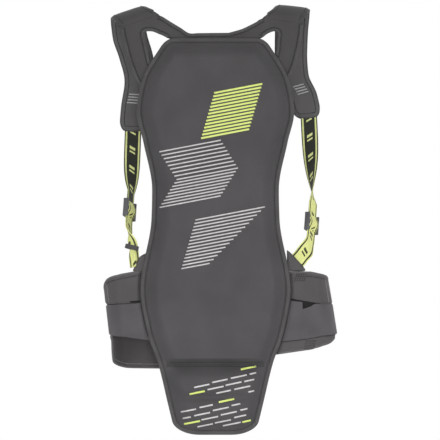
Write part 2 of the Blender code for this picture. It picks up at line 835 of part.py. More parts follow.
def patch(name, side, ends, heights, offset, look):
    """A hook or loop patch that lies along the belt's front stretch."""
    turns = spread(flap_turn(side, ends[0]), flap_turn(side, ends[1]), 2)
    rows = [(turn, heights[0], heights[1]) for turn in turns]
    return belt_piece(name, side, rows, offset, PATCH_THICK, look)


def build_belt(looks):
    for side in SIDES:
        name = side["name"]
        axis = (side["sign"] * side["hinge_x"], BELT_AXIS_Y, BAND_Z)
        tops, lows = side["wing_top"], side["wing_low"]
        fold = (tops[0][1], lows[0][1])
        belt_root(name + "_wing_root", side, side["root"], fold, 0.0, WING_THICK, looks["fabric"])
        rows = belt_outline(side, tops, lows, side["flap_end"], 0.0)
        wing = belt_piece(name + "_wing", side, rows, 0.0, WING_THICK, looks["fabric"])
        edge = belt_outline(side, tops, lows, side["flap_end"], PIPING_RADIUS + PIPING_CLEAR)
        points = [(*belt_place(side, turn, top, 0.0), top) for turn, top, low in edge]
        points += [(*belt_place(side, turn, low, 0.0), low) for turn, top, low in edge[::-1]]
        trim = tube(name + "_wing_binding", points, PIPING_RADIUS, looks["dark"])
        tops, lows = side["band_top"], side["band_low"]
        fold = (tops[0][1], lows[0][1])
        belt_root(name + "_band_root", side, fold, fold, BAND_OFFSET, BAND_THICK, looks["elastic"])
        rows = belt_outline(side, tops, lows, side["band_end"], 0.0)
        band = belt_piece(name + "_band", side, rows, BAND_OFFSET, BAND_THICK, looks["elastic"])
        hook_z = (tops[-1][1] - PATCH_EDGE, lows[-1][1] + PATCH_EDGE)
        hook_x = (side["band_end"] + PATCH_EDGE + PATCH_LONG, side["band_end"] + PATCH_EDGE)
        hook_at = BAND_OFFSET - BAND_THICK / 2 - GAP - PATCH_THICK / 2
        hook = patch(name + "_band_hook", side, hook_x, hook_z, hook_at, looks["dark"])
        for piece in (wing, trim, band, hook):
            set_origin(piece, axis)
    build_closure(looks)


def build_closure(looks):
    """Hook patch inside the left flap's end, and the loop patch that it closes on."""
    heights = (LEFT["band_top"][-1][1], LEFT["band_low"][-1][1])
    inside = -(WING_THICK / 2 + GAP + PATCH_THICK / 2)
    ends = (LEFT["flap_end"] + PATCH_EDGE + PATCH_LONG, LEFT["flap_end"] + PATCH_EDGE)
    hook = patch("left_closure_hook", LEFT, ends, heights, inside, looks["dark"])
    set_origin(hook, (LEFT["sign"] * LEFT["hinge_x"], BELT_AXIS_Y, BAND_Z))
    loop = patch("right_closure_loop", RIGHT, (-ends[0], -ends[1]), heights, -inside, looks["dark"])
    set_origin(loop, (RIGHT["sign"] * RIGHT["hinge_x"], BELT_AXIS_Y, BAND_Z))


clear_scene()
LOOKS = {
    "fabric": material("cover_fabric", FABRIC, 0.75),
    "dark": material("binding_tape", DARK_FABRIC, 0.8),
    "liner": material("mesh_liner", LINER_GREY, 0.9),
    "foam": material("protector_foam", FOAM, 0.9),
    "elastic": material("elastic_band", ELASTIC, 0.7),
    "webbing": material("webbing_face", WEBBING_FACE, 0.75),
    "lime": material("webbing_lime", WEBBING_LIME, 0.7),
    "buckle": material("buckle_plastic", BUCKLE_GREY, 0.45),
}
build_panel(LOOKS)
build_yoke(LOOKS)
build_straps(LOOKS)
build_webbing(LOOKS)
build_belt(LOOKS)
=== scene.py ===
"""Looks of a soft back protector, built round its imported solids.

Lengths are millimetres and heights are above the tail's lower edge until metres() puts them
in the frame: +Z up, the outer face towards -Y, the wearer's back on y = 0, left is -X.
"""
import json
import math

import bmesh
import bpy
import numpy as np
from mathutils import Vector
from mathutils.geometry import delaunay_2d_cdt
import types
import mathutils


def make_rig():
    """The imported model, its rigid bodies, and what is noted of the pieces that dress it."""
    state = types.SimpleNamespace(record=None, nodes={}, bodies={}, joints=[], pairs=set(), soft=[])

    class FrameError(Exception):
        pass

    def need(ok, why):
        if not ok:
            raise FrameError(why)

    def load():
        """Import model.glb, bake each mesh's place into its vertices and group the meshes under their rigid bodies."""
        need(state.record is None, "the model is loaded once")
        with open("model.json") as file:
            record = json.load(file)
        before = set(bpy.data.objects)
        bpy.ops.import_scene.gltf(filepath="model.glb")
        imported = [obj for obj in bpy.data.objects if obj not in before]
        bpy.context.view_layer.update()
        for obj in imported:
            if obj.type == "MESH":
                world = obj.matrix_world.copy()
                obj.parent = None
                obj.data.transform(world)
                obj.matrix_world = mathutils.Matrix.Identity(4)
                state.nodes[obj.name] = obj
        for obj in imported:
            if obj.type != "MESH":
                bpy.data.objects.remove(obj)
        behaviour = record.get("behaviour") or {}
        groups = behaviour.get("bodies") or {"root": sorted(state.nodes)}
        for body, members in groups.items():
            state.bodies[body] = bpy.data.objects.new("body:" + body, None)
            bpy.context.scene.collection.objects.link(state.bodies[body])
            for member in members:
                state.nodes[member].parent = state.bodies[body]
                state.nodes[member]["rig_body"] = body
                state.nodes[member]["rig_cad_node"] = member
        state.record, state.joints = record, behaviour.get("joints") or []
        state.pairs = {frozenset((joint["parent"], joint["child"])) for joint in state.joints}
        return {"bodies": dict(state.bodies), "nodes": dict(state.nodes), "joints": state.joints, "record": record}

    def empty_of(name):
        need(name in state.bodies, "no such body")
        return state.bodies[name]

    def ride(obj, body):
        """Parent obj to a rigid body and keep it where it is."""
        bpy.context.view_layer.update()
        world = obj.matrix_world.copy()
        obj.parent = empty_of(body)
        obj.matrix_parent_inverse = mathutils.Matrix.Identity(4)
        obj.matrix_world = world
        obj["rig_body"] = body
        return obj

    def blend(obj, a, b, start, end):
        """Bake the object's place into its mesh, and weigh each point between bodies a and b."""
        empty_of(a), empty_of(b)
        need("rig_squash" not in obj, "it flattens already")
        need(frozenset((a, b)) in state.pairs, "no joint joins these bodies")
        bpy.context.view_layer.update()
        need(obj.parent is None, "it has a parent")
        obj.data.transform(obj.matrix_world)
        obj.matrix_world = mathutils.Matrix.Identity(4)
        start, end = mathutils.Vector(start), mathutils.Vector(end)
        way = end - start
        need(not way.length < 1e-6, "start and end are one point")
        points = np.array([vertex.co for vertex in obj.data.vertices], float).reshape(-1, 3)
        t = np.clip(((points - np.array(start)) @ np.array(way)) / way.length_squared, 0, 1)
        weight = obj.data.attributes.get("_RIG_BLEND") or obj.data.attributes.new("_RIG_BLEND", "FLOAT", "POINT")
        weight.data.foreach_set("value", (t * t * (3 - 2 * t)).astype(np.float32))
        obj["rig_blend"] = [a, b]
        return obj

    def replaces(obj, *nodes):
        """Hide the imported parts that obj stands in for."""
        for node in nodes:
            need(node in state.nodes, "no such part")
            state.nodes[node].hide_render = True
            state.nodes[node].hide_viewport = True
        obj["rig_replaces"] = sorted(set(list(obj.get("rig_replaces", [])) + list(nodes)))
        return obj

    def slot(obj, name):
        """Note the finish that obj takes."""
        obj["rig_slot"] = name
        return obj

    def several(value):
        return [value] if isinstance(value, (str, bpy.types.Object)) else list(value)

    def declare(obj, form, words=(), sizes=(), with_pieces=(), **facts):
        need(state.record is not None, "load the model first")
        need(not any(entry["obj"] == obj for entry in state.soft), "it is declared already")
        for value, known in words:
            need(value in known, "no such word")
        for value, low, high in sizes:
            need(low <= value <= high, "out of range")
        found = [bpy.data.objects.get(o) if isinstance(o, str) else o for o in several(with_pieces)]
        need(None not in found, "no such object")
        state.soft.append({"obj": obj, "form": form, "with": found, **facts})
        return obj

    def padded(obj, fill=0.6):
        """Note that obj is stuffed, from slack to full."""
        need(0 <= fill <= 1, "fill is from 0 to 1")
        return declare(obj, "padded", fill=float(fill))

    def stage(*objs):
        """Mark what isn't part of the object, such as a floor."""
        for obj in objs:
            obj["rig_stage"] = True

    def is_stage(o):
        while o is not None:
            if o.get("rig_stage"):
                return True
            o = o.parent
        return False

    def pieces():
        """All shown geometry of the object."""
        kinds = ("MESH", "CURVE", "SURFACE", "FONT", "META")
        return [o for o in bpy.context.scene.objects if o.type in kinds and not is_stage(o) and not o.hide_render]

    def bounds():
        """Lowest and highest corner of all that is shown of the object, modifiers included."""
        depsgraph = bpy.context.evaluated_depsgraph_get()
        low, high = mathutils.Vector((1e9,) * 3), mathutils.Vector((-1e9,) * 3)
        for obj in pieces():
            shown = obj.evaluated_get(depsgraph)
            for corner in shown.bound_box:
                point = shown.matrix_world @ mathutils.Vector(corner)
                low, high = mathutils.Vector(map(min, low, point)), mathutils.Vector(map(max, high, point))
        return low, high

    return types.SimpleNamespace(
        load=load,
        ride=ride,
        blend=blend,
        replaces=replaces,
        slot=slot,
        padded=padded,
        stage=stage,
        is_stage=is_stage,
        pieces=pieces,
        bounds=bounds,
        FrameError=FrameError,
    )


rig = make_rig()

MM = 0.001
BACK_Z = 350.0

# Panel outline and layers
PANEL_TOP = 595.0
FOLD_Z = 107.0
TAIL_FOLD_Z = 57.0
TOP_CORNER = 12.0
TAIL_CORNER = (36.0, 20.0)
EDGE_CURVE = (
    (0.0, 60.0), (45.0, 71.0), (107.0, 86.0), (150.0, 101.0), (219.0, 112.5), (324.0, 96.0),
    (367.0, 95.0), (438.0, 108.0), (484.0, 118.0), (529.0, 111.0), (595.0, 74.0),
)
EDGE_STEPS = (0.0, 2.2, 4.4, 6.4, 8.0, 9.6, 11.4, 13.4, 15.6, 18.0, 20.4, 22.8, 25.2, 27.6, 30.0)
NARROW_SHARE = 0.85
PANEL_EDGE_STEP = 2.5
RIM_FRONT = 5.9
COVER_BACK = 1.7
COVER_INSET = 1.4
SHOULDER_START = 8.0
SHOULDER_RUN = 20.0
CROWN = 15.0
CENTRE_RISE = 2.5
CREASE_START = -0.5
CREASE_ABOVE = 9.0
CREASE_BELOW = 25.0
CREASE_SINK = 2.0
CREASE_WIDE = 5.0
TAIL_FOLD_SHARE = 0.36
TAIL_FOLD_WIDE = 6.5
LOOSE_FROM_EDGE = (8.0, 30.0)
COVER_WAVE = 0.3
LINER_INSET = 2.7
LINER_THICK = 1.5
CHANNEL_DEEP = 1.0
CHANNEL_PITCH = 44.0
CHANNEL_LEAN = (0.5, 0.9)
CHANNEL_HALF = 3.0
SPINE_HALF = 6.0
CHANNEL_RIM = (8.0, 14.0)
BINDING_WIDE = 6.6
BINDING_FRONT = 7.6
BINDING_BACK = 0.25
BINDING_WALL = 1.3
SEAM_IN = 0.4
SEAM_LIFT = 0.2
CREASE_SEAM_IN = 14.0
CREASE_SEAMS = (-4.0, -1.0, 2.0)
CREASE_BEND = 20.0

# Prints: hatched blocks, and tail dashes by the left end's x and height, and the length
FILM_SECTION = ((-0.5, 0.25), (-0.45, -0.14), (0.45, -0.14), (0.5, 0.25))
FILM_STEP = 2.5
HATCH_LEAN = 0.19
HATCH_PITCH = 5.2
HATCH_SHIFT = -1.5
HATCH_WIDE = 2.0
LEANING_BLOCK = {"corner": (-2.0, 512.0), "rows": 14, "long": 72.0}
ARROW_BLOCK = {"corner": (-84.0, 424.0), "rows": 17, "long": 92.0, "tip_step": 3.2}
WEDGE_BLOCK = {"corner": (-30.0, 322.0), "rows": 15, "long": 104.0, "shorter": 4.4}
DASH_LEAN = 0.21
GREY_DASH_WIDE = 2.4
LIME_DASH_WIDE = 3.0
GREY_DASHES = (
    (23, 85.3, 24), (51, 91.3, 10), (-5, 79.0, 23), (-32, 71.5, 23), (-12, 68.2, 24), (15, 74.8, 24),
    (43, 80.4, 15), (28, 68.7, 24), (1, 62.8, 22), (49, 64.5, 9), (-52, 34.5, 23), (-24, 41.5, 20),
    (-32, 29.2, 24), (-4, 37.0, 24), (24, 44.5, 13), (-49, 24.9, 12), (-21, 23.0, 25), (8, 30.5, 24),
    (37, 37.5, 11), (-27, 12.0, 23), (-1, 18.1, 24), (28, 26.5, 18), (11, 13.6, 27),
)
LIME_DASHES = (
    (38, 98.2, 23), (-39, 61.2, 23), (5, 49.5, 23), (-47, 16.2, 24), (40, 19.2, 13),
)

# Each side's own measures; x counts outwards from the panel's centre line
LEFT = {
    "name": "left",
    "sign": -1.0,
    "yoke": (
        (26.0, 602.3), (39.3, 602.2), (52.7, 610.5), (66.0, 618.5), (79.0, 626.6), (84.0, 628.6),
        (90.0, 626.9), (102.0, 622.8), (122.0, 615.8), (137.0, 610.9), (141.6, 608.4),
        (140.6, 600.0), (136.8, 585.0), (131.0, 563.0), (124.0, 543.0), (117.5, 529.0), (112.0, 523.0),
    ),
    "notch": (
        (97.0, 556.5), (99.6, 566.0), (103.6, 585.0), (107.2, 600.0), (106.6, 603.5), (103.6, 604.9),
        (99.0, 605.0), (94.2, 604.6), (86.0, 601.4), (78.0, 598.0), (72.5, 595.0),
    ),
    "strap": (
        (113.2, -2.25, 620.0, 61.0, 19.0), (117.0, -2.25, 624.5, 57.0, 19.0),
        (126.0, 9.0, 630.5, 53.0, 19.0), (131.5, 32.0, 634.0, 52.0, 18.4),
        (132.5, 60.0, 626.0, 50.0, 16.0), (130.0, 77.0, 602.0, 49.0, 12.0),
        (120.5, 83.0, 570.0, 48.0, 6.0), (113.4, 83.0, 534.0, 46.0, 0.0),
        (121.0, 79.0, 493.0, 41.0, -4.0), (125.5, 74.0, 457.0, 38.0, 0.0),
    ),
    "webbing": (
        (125.0, 72.0, 452.0, 0.0), (127.5, 41.0, 364.0, 68.0),
        (131.0, 24.0, 311.0, 68.0), (120.8, 0.2, 251.0, 180.0),
    ),
    "end_way": (-0.04, -0.06, -1.0),
    "tack": (124.0, 505.0, 0.0),
    "keeper": True,
    "twist_rate": 2.4,
    "bend_from": 0.76,
    "gather": 52.0,
    "tab": (
        (103.0, 273.0), (106.0, 271.4), (111.0, 269.0), (116.0, 263.8), (119.8, 255.0), (123.6, 245.0),
        (103.0, 245.0),
    ),
    "hinge_x": 128.0,
    "fold_top": 168.6,
    "fold_low": 158.5,
    "front_step": 5.6,
    "lobe_in": 3.2,
    "gape": ((104.0, 204.0), (113.0, 202.0), (130.0, 200.6), (130.0, 199.0), (104.0, 190.0)),
    "boxes": (),
    "band_seam": ("root_top", "band_top", 1.0),
    "flap_end": -45.0,
    "root": (246.0, 148.0),
    "wing_top": (
        (0.0, 242.0), (1.0, 238.0), (1.2, 234.0), (1.35, 227.0), (1.55, 216.0), (2.0, 214.0), (3.0, 212.0),
    ),
    "wing_low": ((0.0, 150.0), (1.44, 150.5), (1.53, 128.0), (1.64, 107.0), (2.05, 98.5), (3.0, 97.0)),
    "band_top": ((0.0, 196.2), (1.0, 195.4), (1.5, 193.0), (3.0, 190.0)),
    "band_low": ((0.0, 145.6), (1.0, 146.8), (1.5, 149.5), (3.0, 144.0)),
    "root_top": ((-1.0, 198.6), (0.0, 196.2)),
    "root_low": ((-1.0, 141.0), (0.0, 145.6)),
    "band_end": 60.0,
}
RIGHT = {
    "name": "right",
    "sign": 1.0,
    "yoke": (
        (20.0, 602.8), (39.6, 608.5), (50.0, 613.3), (61.0, 619.0), (66.0, 622.6), (70.0, 624.0),
        (76.0, 623.4), (95.0, 621.2), (115.0, 618.6), (128.0, 617.0), (131.2, 615.0),
        (130.6, 606.0), (128.4, 592.0), (124.4, 572.0), (119.0, 553.0), (113.6, 540.0), (108.0, 533.0),
    ),
    "notch": (
        (90.0, 568.5), (91.4, 578.0), (92.8, 592.0), (93.6, 600.0), (92.6, 603.8), (89.0, 605.0),
        (85.4, 604.5), (80.0, 602.4), (76.0, 600.0), (71.0, 596.0),
    ),
    "strap": (
        (100.6, -2.25, 620.5, 61.0, 6.5), (103.8, -2.25, 626.0, 56.5, 6.5),
        (112.0, 9.0, 634.5, 51.5, 6.5), (116.3, 32.0, 640.5, 49.5, 6.2),
        (116.5, 60.0, 632.0, 48.0, 5.0), (115.0, 77.0, 607.0, 47.0, 2.0),
        (114.3, 83.0, 574.0, 46.0, 0.0), (117.5, 83.0, 540.0, 44.0, -8.0),
        (132.0, 79.0, 508.0, 41.0, -14.0), (140.0, 74.0, 477.0, 39.0, -4.0),
    ),
    "webbing": (
        (141.5, 72.0, 472.0, 0.0), (147.0, 36.0, 347.0, 118.0),
        (142.5, 18.5, 287.0, 118.0), (122.0, 0.5, 259.5, 180.0),
    ),
    "end_way": (-0.62, 0.0, -0.78),
    "tack": (129.0, 520.0, 3.0),
    "keeper": False,
    "twist_rate": 1.7,
    "bend_from": 0.79,
    "gather": 0.0,
    "tab": ((107.0, 277.0), (111.0, 274.5), (122.0, 263.0), (134.5, 248.5), (135.0, 245.5), (107.0, 245.5)),
    "hinge_x": 142.0,
    "fold_top": 169.3,
    "fold_low": 183.3,
    "front_step": 0.0,
    "lobe_in": 0.0,
    "gape": ((112.0, 205.0), (131.0, 201.6), (157.0, 197.2), (157.0, 195.6), (131.0, 185.0), (112.0, 196.0)),
    "boxes": ((119.0, 231.5, 133.0, 241.0), (133.5, 129.5, 146.5, 140.5)),
    "flap_end": 3.0,
    "root": (243.5, 121.0),
    "wing_top": (
        (0.0, 243.0), (1.0, 242.2), (1.1, 240.9), (1.2, 239.5), (1.3, 237.9), (1.4, 236.3), (1.5, 233.5),
        (2.0, 230.0), (3.0, 226.0),
    ),
    "wing_low": (
        (0.0, 129.3), (1.0, 135.3), (1.15, 138.5), (1.3, 145.5), (1.4, 149.5), (1.5, 150.5), (1.6, 150.0),
        (1.8, 148.2), (2.0, 146.0), (2.4, 142.0), (3.0, 136.0),
    ),
    "band_seam": ("root_low", "band_low", -1.0),
    "band_top": ((0.0, 192.5), (0.8, 196.4), (1.1, 196.6), (1.5, 195.0), (3.0, 184.0)),
    "band_low": ((0.0, 145.0), (1.0, 148.5), (1.45, 150.5), (3.0, 144.0)),
    "root_top": ((-1.0, 202.0), (-0.33, 199.0), (-0.3, 188.5), (0.0, 192.5)),
    "root_low": ((-1.0, 139.0), (0.0, 145.0)),
    "band_end": 90.0,
}
SIDES = (LEFT, RIGHT)

# Yoke and shoulder straps; the peak and the outer corner are counted along the yoke's points
CURVE_STEP = 2.0
PEAK = 5
CORNER = 10
YOKE_FRONT = 4.0
YOKE_BACK = 0.5
YOKE_UNDER_PANEL = 9.0
NOTCH_UNDER_PANEL = 3.5
YOKE_WAVE = 0.35
YOKE_LOOSE = (3.0, 14.0)
YOKE_FLAT_Z = (585.0, 600.0)
YOKE_TAPE = 5.6
YOKE_TAPE_RISE = 0.7
YOKE_TAPE_BACK = 0.1
YOKE_TAPE_WALL = 0.9
YOKE_SEAM_RISE = 0.95
STRAP_ROWS = 120
STRAP_THICK = 8.0
STRAP_SWELL = (6.0, 40.0)
STRAP_ROOT = 3.7
STRAP_LAP = 5.0
STRAP_SQUARE = 3.6
STRAP_SIDES = 44
STRAP_SEAM_IN = 5.0
STRAP_END_ROUND = 17.0
STRAP_END_WIDE = 0.45
STRAP_END_THICK = 0.35
STRAP_FRONT_Y = 60.0
EDGE_ROLL = 3.0
EDGE_LEAST = 0.08
PIPING = 1.7
PIPING_SIDES = 10
PIPING_START = 5
PIPING_END = 0.8
TACK_LONG = 17.0
TACK_PITCH = 4.4
TACK_RANKS = (-1.5, -0.5, 0.5, 1.5)
TACK_THREAD = (1.9, 1.2)
CLOSE_STITCH = {"Pitch": 0.003, "Stitch Length": 0.0029, "Thread Width": 0.0015}

# Webbing, ladder-locks, keeper and tabs; row counts are along the webbing's run, and the woven dashes
# are given by their middle in the repeat and half their length
WEBBING_WIDE = 25.0
WEBBING_THICK = 1.5
WEBBING_SQUARE = 7.0
WEBBING_SIDES = 24
WEBBING_SEWN_IN = 14.0
WEAVE_LINE = 9.6
WEAVE_LINE_HALF = 1.25
WEAVE_REPEAT = 31.0
WEAVE_DASHES = ((6.0, 2.2), (12.5, 1.4))
WEAVE_DASH_LEAN = 0.55
WEAVE_DASH_REACH = 4.2
TWILL_LEAN = 1.4
TWILL_PITCH = 1.8
WEBBING_LEAVE = 1.25
UPPER_ROWS = 60
STRAIGHT_ROWS = 24
BEND_ROWS = 45
LIME_ROWS_BEFORE_BEND = 12
KEEPER_ROW = 24
TWIST_FROM = 0.15
TWIST_SHARE = 0.85
GATHER_ROWS = (7, 24)
BUCKLE_INNER = 13.1
BUCKLE_OUTER = 16.5
BUCKLE_END = 14.0
BUCKLE_BAR = 5.0
BUCKLE_RISE = 2.1
BUCKLE_DEEP = 4.1
BLOCK_SQUARE = 4.5
BLOCK_SOFT = 0.7
BLOCK_STEP = 0.25
LOOP_REACH = 11.5
LOOP_LAY = 20.0
LOOP_THICK = 1.3
LOOP_LOW = 1.2
LOOP_RISE = 3.7
KEEPER_HIGH = 7.0
KEEPER_WIDE = 22.0
KEEPER_DEEP = 11.0
KEEPER_THICK = 1.4
KEEPER_LEAN = 35.0
KEEPER_SQUARE = 3.0
KEEPER_TAPE_SQUARE = 4.0
TAB_Y = -2.0
TAB_ROLL = 2.0
TAB_BACK_SHARE = 0.95

# Belt wings, elastic bands and their patches
WING_MID_Y = -2.0
WING_THICK = 3.0
WING_PIPING = 1.9
WING_WAVE = 0.8
WING_LOOSE_TURNS = (-0.5, 0.8)
FLAP_STIFF = 0.6
FLAP_STIFF_TURNS = (2.0, 2.4)
HELD_FROM_Z = (172.0, 184.0)
HELD_TO_Z = (204.0, 216.0)
HELD_TURNS = (1.0, 1.3)
BELT_COLUMNS = 44
BAND_OFFSET = 3.2
BAND_THICK = 1.7
BAND_PULL = 2.4
BAND_SPAN = (148.0, 194.0)
BAND_PULL_RUN = 4.0
BAND_Z = 143.0
LOBE_RUN = (-6.0, 4.0)
BELT_HIGH = 90.0
BELT_DEPTH = 106.0
FOLD_REACH = 22.0
FLAP_ROUND = 18.0
RIM_DIP = 2.5
RIM_DIP_RUN = (0.8, 6.0)
HINGE_CLEAR = 0.6
ROOT_INSIDE = 6.0
HINGE_SLANT = 62.0
HINGE_BEFORE = 16.0
HINGE_RUN = 12.0
GAPE_HALF = 0.25
GAPE_ROLL = 0.8
GAPE_FRONT = 0.2
GAPE_BACK = 0.4
BELT_SEAM_LIFT = 0.1
RIM_SEAM_OUT = 1.2
TOP_SEAM_IN = 5.5
LOW_SEAM_IN = 5.0
SIDE_SEAM_TURN = 1.27
SIDE_SEAM_CLEAR = 6.0
RIM_SEAM_CLEAR = (2.0, 4.0)
# turns of the dark thread line that paints the shadow along the band's edge
BAND_SHADOW_LINE_TURNS = (-0.85, 1.3)
TOP_SEAM_TURNS = (-0.6, 1.3)
LOW_SEAM_TURNS = (1.66, 2.6)
BOX_ROWS = 5
BOX_LEAN = 3.0
PATCH_THICK = 0.8
PATCH_LONG = 24.0
PATCH_EDGE = 8.0
PATCH_CORNER = 4.0
PATCH_ROLL = 1.2

# Studio, in metres and watts; the picture's frame in millimetres
CAMERA_AWAY = 8000.0
FRAME_WIDE = 660.0
FRAME_X = 6.75
FRAME_Z = 322.05
SENSOR_WIDE = 36.0
FLOOR_Z = -0.6
FLOOR_REACH = 4.0
AMBIENT = 0.55
LAMPS = (
    ("key", (0.1, -2.6, -0.2), (0.0, 0.0, -0.3), 0.4, 40.0, 0.9),
    ("fill", (-1.8, -2.2, -0.2), (0.0, 0.0, 0.0), 0.6, 180.0, 7.0),
    ("right", (2.3, -1.7, -0.1), (0.0, 0.0, 0.0), 0.8, 180.0, 9.0),
    ("front", (0.3, 2.8, 1.4), (0.0, 0.0, 0.0), 1.8, 80.0, 7.0),
)


# Curves and numbers

def metres(points):
    """Places in the frame, from millimetres with heights above the tail's lower edge."""
    places = np.array(points, float).reshape(-1, 3)
    places[:, 2] -= BACK_Z
    return places * MM


def smooth(points, at):
    """Values of a smooth curve through (station, value) pairs, with no overshoot."""
    xs, ys = np.array(points, float).T
    spans = np.diff(xs)
    rises = np.diff(ys) / spans
    slopes = np.concatenate([rises[:1], np.zeros(len(xs) - 2), rises[-1:]])
    product = rises[:-1] * rises[1:]
    total = np.where(product > 0, rises[:-1] + rises[1:], 1.0)
    slopes[1:-1] = np.where(product > 0, 2 * product / total, 0.0)
    at = np.clip(np.asarray(at, float), xs[0], xs[-1])
    i = np.clip(np.searchsorted(xs, at) - 1, 0, len(spans) - 1)
    t = (at - xs[i]) / spans[i]
    return (
        ys[i] + (ys[i + 1] - ys[i]) * (3 * t * t - 2 * t ** 3)
        + slopes[i] * spans[i] * (t - 2 * t * t + t ** 3)
        + slopes[i + 1] * spans[i] * (t ** 3 - t * t)
    )


def ease(value, start, end):
    """0 at the start to 1 at the end, level at both."""
    t = np.clip((np.asarray(value, float) - start) / (end - start), 0.0, 1.0)
    return t * t * (3 - 2 * t)


def rolled(from_edge, roll, least=0.0):
    """Share of a pad's thickness at a distance from its edge, which is rounded over a length."""
    return np.sqrt(1 - (1 - np.clip(from_edge / roll, least, 1.0)) ** 2)


def unit(vectors):
    vectors = np.asarray(vectors, float)
    return vectors / np.maximum(np.linalg.norm(vectors, axis=-1, keepdims=True), 1e-9)


def distance_run(points):
    """How far along a line of points each one lies."""
    return np.concatenate([[0.0], np.cumsum(np.linalg.norm(np.diff(points, axis=0), axis=1))])


def spline(points, step):
    """A round curve through points, cut into steps of about one length."""
    points = np.array(points, float)
    reach = distance_run(points)
    before = np.vstack([2 * points[0] - points[1], points[:-1]])
    after = np.vstack([points[1:], 2 * points[-1] - points[-2]])
    ahead = np.diff(np.concatenate([[-reach[1]], reach, [2 * reach[-1] - reach[-2]]]))
    lean = (after - before) / (ahead[:-1] + ahead[1:])[:, None]
    at = np.linspace(0.0, reach[-1], max(int(reach[-1] / step), 2) + 1)
    i = np.clip(np.searchsorted(reach, at) - 1, 0, len(points) - 2)
    span = (reach[i + 1] - reach[i])[:, None]
    t = ((at - reach[i]) / span[:, 0])[:, None]
    turn = t * t * (3 - 2 * t)
    bend = lean[i] * span * t * (1 - t) ** 2 - lean[i + 1] * span * t * t * (1 - t)
    return points[i] * (1 - turn) + points[i + 1] * turn + bend


def even(points, step, closed=False):
    """Points spaced evenly along a line of points."""
    points = np.array(points, float)
    if closed:
        points = np.vstack([points, points[:1]])
    reach = distance_run(points)
    at = np.linspace(0.0, reach[-1], max(int(round(reach[-1] / step)), 2) + 1)
    line = np.stack([np.interp(at, reach, column) for column in points.T], axis=1)
    return line[:-1] if closed else line


def ripple(points, scale, seed):
    """Soft made-up unevenness between about -1 and 1, from a few fixed waves."""
    draw = np.random.default_rng(seed)
    ways = unit(draw.normal(size=(7, 3))) / (scale * draw.uniform(0.7, 1.5, size=(7, 1)))
    turns = draw.uniform(0, 2 * math.pi, size=7)
    return np.sin(np.asarray(points, float) @ ways.T * 2 * math.pi + turns).mean(axis=-1) * 1.6


def raised(flat, y):
    """Places at (x, z) points, with their y."""
    return np.stack([flat[..., 0], np.broadcast_to(y, flat.shape[:-1]), flat[..., 1]], axis=-1)


def tangents(line, closed=False):
    if closed:
        return unit(np.roll(line, -1, axis=0) - np.roll(line, 1, axis=0))
    return unit(np.gradient(line, axis=0))


def leftward(line, closed=False):
    """Directions to the left of a line of (x, z), which is inwards where it runs anticlockwise."""
    way = tangents(line, closed)
    return np.stack([-way[:, 1], way[:, 0]], axis=1)


def distance_to(points, outline):
    """Least distance of (x, z) points from a closed outline."""
    points = np.asarray(points, float)
    starts = np.asarray(outline, float)
    ways = np.roll(starts, -1, axis=0) - starts
    lengths = np.maximum((ways ** 2).sum(axis=1), 1e-9)
    least = np.full(len(points), 1e9)
    for start, way, length in zip(starts, ways, lengths):
        off = points - start
        t = np.clip(off @ way / length, 0.0, 1.0)
        least = np.minimum(least, np.linalg.norm(off - t[:, None] * way, axis=1))
    return least


def inside(points, outline):
    """Which (x, z) points lie within a closed outline."""
    x, z = np.asarray(points, float).T
    within = np.zeros(len(x), bool)
    for (x0, z0), (x1, z1) in zip(outline, np.roll(outline, -1, axis=0)):
        if z0 == z1:
            continue
        crosses = (z0 > z) != (z1 > z)
        within ^= crosses & (x < (x1 - x0) * (z - z0) / (z1 - z0) + x0)
    return within


# Meshes

def add_object(name, data):
    made = bpy.data.objects.new(name, data)
    bpy.context.scene.collection.objects.link(made)
    return made


def piece(name, points, faces, finishes, lay=None, marks=()):
    """A smooth-shaded object at the origin, its faces turned outwards, with no loose points. Marks give
    each face's finish, and lay is an optional attribute for its weave."""
    mesh = bpy.data.meshes.new(name)
    mesh.from_pydata(metres(points).tolist(), [], faces)
    for finish in finishes:
        mesh.materials.append(finish)
    if len(marks):
        mesh.polygons.foreach_set("material_index", np.asarray(marks, np.int32))
    if lay is not None:
        held = mesh.attributes.new("lay", "FLOAT_VECTOR", "POINT")
        held.data.foreach_set("vector", np.asarray(lay, np.float32).ravel())
    shape = bmesh.new()
    shape.from_mesh(mesh)
    bmesh.ops.recalc_face_normals(shape, faces=shape.faces)
    bmesh.ops.delete(shape, geom=[point for point in shape.verts if not point.link_faces], context="VERTS")
    shape.to_mesh(mesh)
    shape.free()
    mesh.shade_smooth()
    return add_object(name, mesh)


def grid_quads(rows, columns, ring_rows=False, ring_columns=False):
    """Quads over a grid of points, closed on itself one way or both where asked."""
    r = np.arange(rows if ring_rows else rows - 1)
    c = np.arange(columns if ring_columns else columns - 1)
    r, c = (index.ravel() for index in np.meshgrid(r, c, indexing="ij"))
    r_next = (r + 1) % rows
    c_next = (c + 1) % columns
    corners = ((r, c), (r, c_next), (r_next, c_next), (r_next, c))
    return np.stack([row * columns + column for row, column in corners], axis=1).tolist()


def bars(name, ring_sets, *finishes, closed=False, lay=None, marks=()):
    """Bars through rings of points, each closed on itself or capped at both ends, as one mesh."""
    faces = []
    first = 0
    for rings in ring_sets:
        count, sides = rings.shape[:2]
        found = grid_quads(count, sides, ring_rows=closed, ring_columns=True)
        if not closed:
            found += [list(range(sides)), list(range((count - 1) * sides, count * sides))]
        faces += [[first + i for i in face] for face in found]
        first += count * sides
    points = np.vstack([rings.reshape(-1, 3) for rings in ring_sets])
    marks = np.pad(marks, (0, len(faces) - len(marks))) if len(marks) else marks
    return piece(name, points, faces, finishes, lay, marks)


